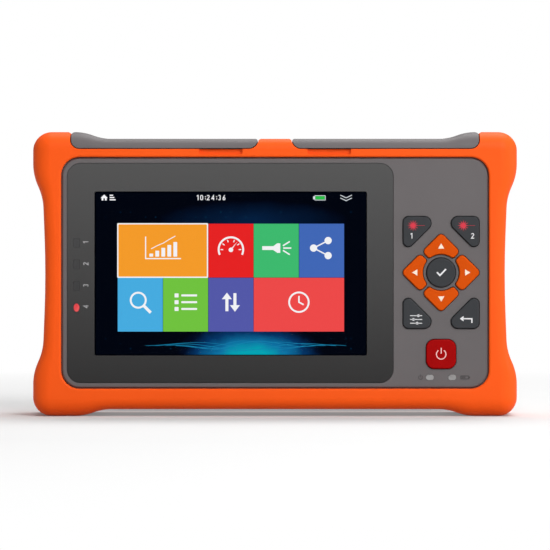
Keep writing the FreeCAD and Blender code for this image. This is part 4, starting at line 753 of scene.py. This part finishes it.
FIGURE_GAP = 2.45
windows_low, windows_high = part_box("indicator_windows")
figures = []
for figure, rise in (("1", 27.8), ("2", 19.3), ("3", 10.6), ("4", 2.2)):
    figures += digits(figure, windows_high.x / MM + FIGURE_GAP, windows_low.z / MM + rise, 2.1, 90)
flat_piece("mark_functions", figures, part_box("front_lens")[0].y / MM, 0.02, pale_ink, CASE)

lights_low, lights_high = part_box("status_windows")
lights_x = (lights_low.x + lights_high.x) / 2 / MM
lights_z = (lights_low.z + lights_high.z) / 2 / MM
relief = moulded("relief_grey", linear(80, 76, 77), rough=0.5, edge=0.06, **dict(MATT, mottle=0.05))
on_mark = [stroke(arc(0, 0, 0.8, 120, 420, 20), 0.28), stroke([(0, 0.2), (0, 1.15)], 0.28)]
cell_mark = [[box2(-1.7, -0.75, 1.7, 0.75, 0.15), box2(-1.4, -0.45, 1.4, 0.45)],
             [box2(1.75, -0.35, 2.1, 0.35)],
             [box2(-1.2, -0.28, 0.3, 0.28)]]
status_marks = moved(on_mark, lights_x - 8.175, lights_z) + moved(cell_mark, lights_x + 9.425, lights_z)
flat_piece("mark_status", status_marks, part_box("front_housing")[0].y / MM, 0.12, relief, CASE)


# ---------------------------------------------------------------- floor, background, light and camera
FLOOR_TONE = 0.72
FLOOR_REACH = 30
# strength of the glow painted under the body as light
PAINTED_UNDER_LIGHT = 0.25
NEAR_X = (0.06, 0.11)   # how far out to the sides the painted shade and the painted light go, and where they have faded
NEAR_Y = (-0.1, 0.2)    # depth that the two lists of painted tones below cover
# Painted shade on the floor, by depth: darkest just beneath and behind the object.
PAINTED_SHADE_TONES = ((0.0, 1.0), (0.15, 0.9), (0.27, 0.66), (0.42, 0.5), (0.54, 0.58), (0.82, 1.0))
# Painted light under the body, by depth: where the glow lightens the real shadow.
PAINTED_LIGHT_TONES = ((0.17, 0.0), (0.26, 1.0), (0.4, 1.0), (0.46, 0.0))
FAR = (0.22, 0.6)       # distance at which the floor turns plain white


def greys(tones):
    """Ramp stops in grey."""
    return [(at, (tone, tone, tone)) for at, tone in tones]


def floor_material():
    """Pale floor: it keeps the object's real shadow, adds a painted shade close by (darker in front of,
    beneath and behind the object) and painted light under the body as a glow that softens the shadow there,
    and fades to plain white far off.
    """
    m = Nodes("floor_white")
    seen = m.add("ShaderNodeLightPath")
    direct = m.math("MAXIMUM", seen.outputs["Is Camera Ray"], seen.outputs["Is Glossy Ray"])
    shown = m.math("MAXIMUM", direct, seen.outputs["Is Transmission Ray"])
    near = m.map(m.math("ABSOLUTE", m.axis("X")), *NEAR_X, 1.0, 0.0)
    near.node.interpolation_type = "SMOOTHSTEP"
    depth = m.map(m.axis("Y"), *NEAR_Y, 0.0, 1.0)
    # Painted shade: the floor's colour is darker near the object.
    painted_shade = m.ramp(depth, *greys(PAINTED_SHADE_TONES))
    painted_shade.node.color_ramp.interpolation = "EASE"
    tone = m.product(m.mix(near, (1.0, 1.0, 1.0), painted_shade), FLOOR_TONE)
    pale = m.tint(m.noise(3), (0.48, 0.48, 0.48), (0.52, 0.52, 0.52))
    diffuse = m.add("ShaderNodeBsdfDiffuse", Color=m.mix(shown, pale, tone))
    # Painted light: a glow under the body that lightens the real shadow there.
    fill = m.product(m.ramp(depth, *greys(PAINTED_LIGHT_TONES)), near, shown, PAINTED_UNDER_LIGHT)
    glow = m.add("ShaderNodeEmission", Strength=fill)
    ground = m.add("ShaderNodeAddShader", _0=diffuse.outputs[0], _1=glow.outputs[0])
    away = m.add("ShaderNodeVectorMath", _0=m.coords())
    away.operation = "LENGTH"
    far = m.map(away.outputs["Value"], *FAR, 0.0, 1.0)
    plain = m.add("ShaderNodeEmission", Color=(1.0, 1.0, 1.0))
    return m.finish(m.add("ShaderNodeMixShader", _0=m.product(far, shown), _1=ground.outputs[0],
                          _2=plain.outputs[0]))


floor_mesh = bpy.data.meshes.new("floor")
corners = [(x * FLOOR_REACH, y * FLOOR_REACH, 0) for x, y in ((-1, -1), (1, -1), (1, 1), (-1, 1))]
floor_mesh.from_pydata(corners, [], [(0, 1, 2, 3)])
floor_mesh.materials.append(floor_material())
floor = bpy.data.objects.new("floor", floor_mesh)
bpy.context.scene.collection.objects.link(floor)

WORLD_STRENGTH = 0.36


def background(tree, strength):
    """White background of that strength."""
    node = tree.nodes.new("ShaderNodeBackground")
    node.inputs["Color"].default_value = (1, 1, 1, 1)
    node.inputs["Strength"].default_value = strength
    return node.outputs[0]


def studio():
    """Dim world for the light, shown as plain white."""
    world = bpy.data.worlds.new("studio")
    bpy.context.scene.world = world
    world.use_nodes = True
    tree = world.node_tree
    tree.nodes.clear()
    path = tree.nodes.new("ShaderNodeLightPath")
    shown = tree.nodes.new("ShaderNodeMath")
    shown.operation = "MAXIMUM"
    tree.links.new(path.outputs["Is Camera Ray"], shown.inputs[0])
    tree.links.new(path.outputs["Is Transmission Ray"], shown.inputs[1])
    mixer = tree.nodes.new("ShaderNodeMixShader")
    output = tree.nodes.new("ShaderNodeOutputWorld")
    tree.links.new(shown.outputs[0], mixer.inputs[0])
    tree.links.new(background(tree, WORLD_STRENGTH), mixer.inputs[1])
    tree.links.new(background(tree, 1.0), mixer.inputs[2])
    tree.links.new(mixer.outputs[0], output.inputs[0])


studio()

AIM = (0, 0, 57 * MM)


def lamp(name, place, size, power):
    """Square area lamp that points at the middle of the object."""
    light = bpy.data.lights.new(name, "AREA")
    light.shape = "SQUARE"
    light.size = size
    light.energy = power
    obj = bpy.data.objects.new(name, light)
    bpy.context.scene.collection.objects.link(obj)
    obj.location = place
    obj.rotation_euler = (Vector(AIM) - Vector(place)).to_track_quat("-Z", "Y").to_euler()


lamp("top_lamp", (0.2, 0.32, 1.1), 0.8, 10)
lamp("key_lamp", (0.5, -1.1, 0.8), 0.7, 13.5)
lamp("right_lamp", (1.1, -0.1, 0.3), 0.4, 2.4)

FACE_Y = -19.5 * MM        # depth of the plane that the next two measures hold for
CAMERA_DISTANCE = 1.3
SEEN_WIDTH = 219.56 * MM
CAMERA_HEIGHT = 56.4 * MM
SENSOR = 36
camera_data = bpy.data.cameras.new("camera")
camera_data.sensor_width = SENSOR
camera_data.lens = SENSOR * CAMERA_DISTANCE / SEEN_WIDTH
camera_data.clip_end = 100
camera = bpy.data.objects.new("camera", camera_data)
bpy.context.scene.collection.objects.link(camera)
camera.location = (0, FACE_Y - CAMERA_DISTANCE, CAMERA_HEIGHT)
camera.rotation_euler = (math.pi / 2, 0, 0)
bpy.context.scene.camera = camera
bpy.context.scene.view_settings.view_transform = "Standard"
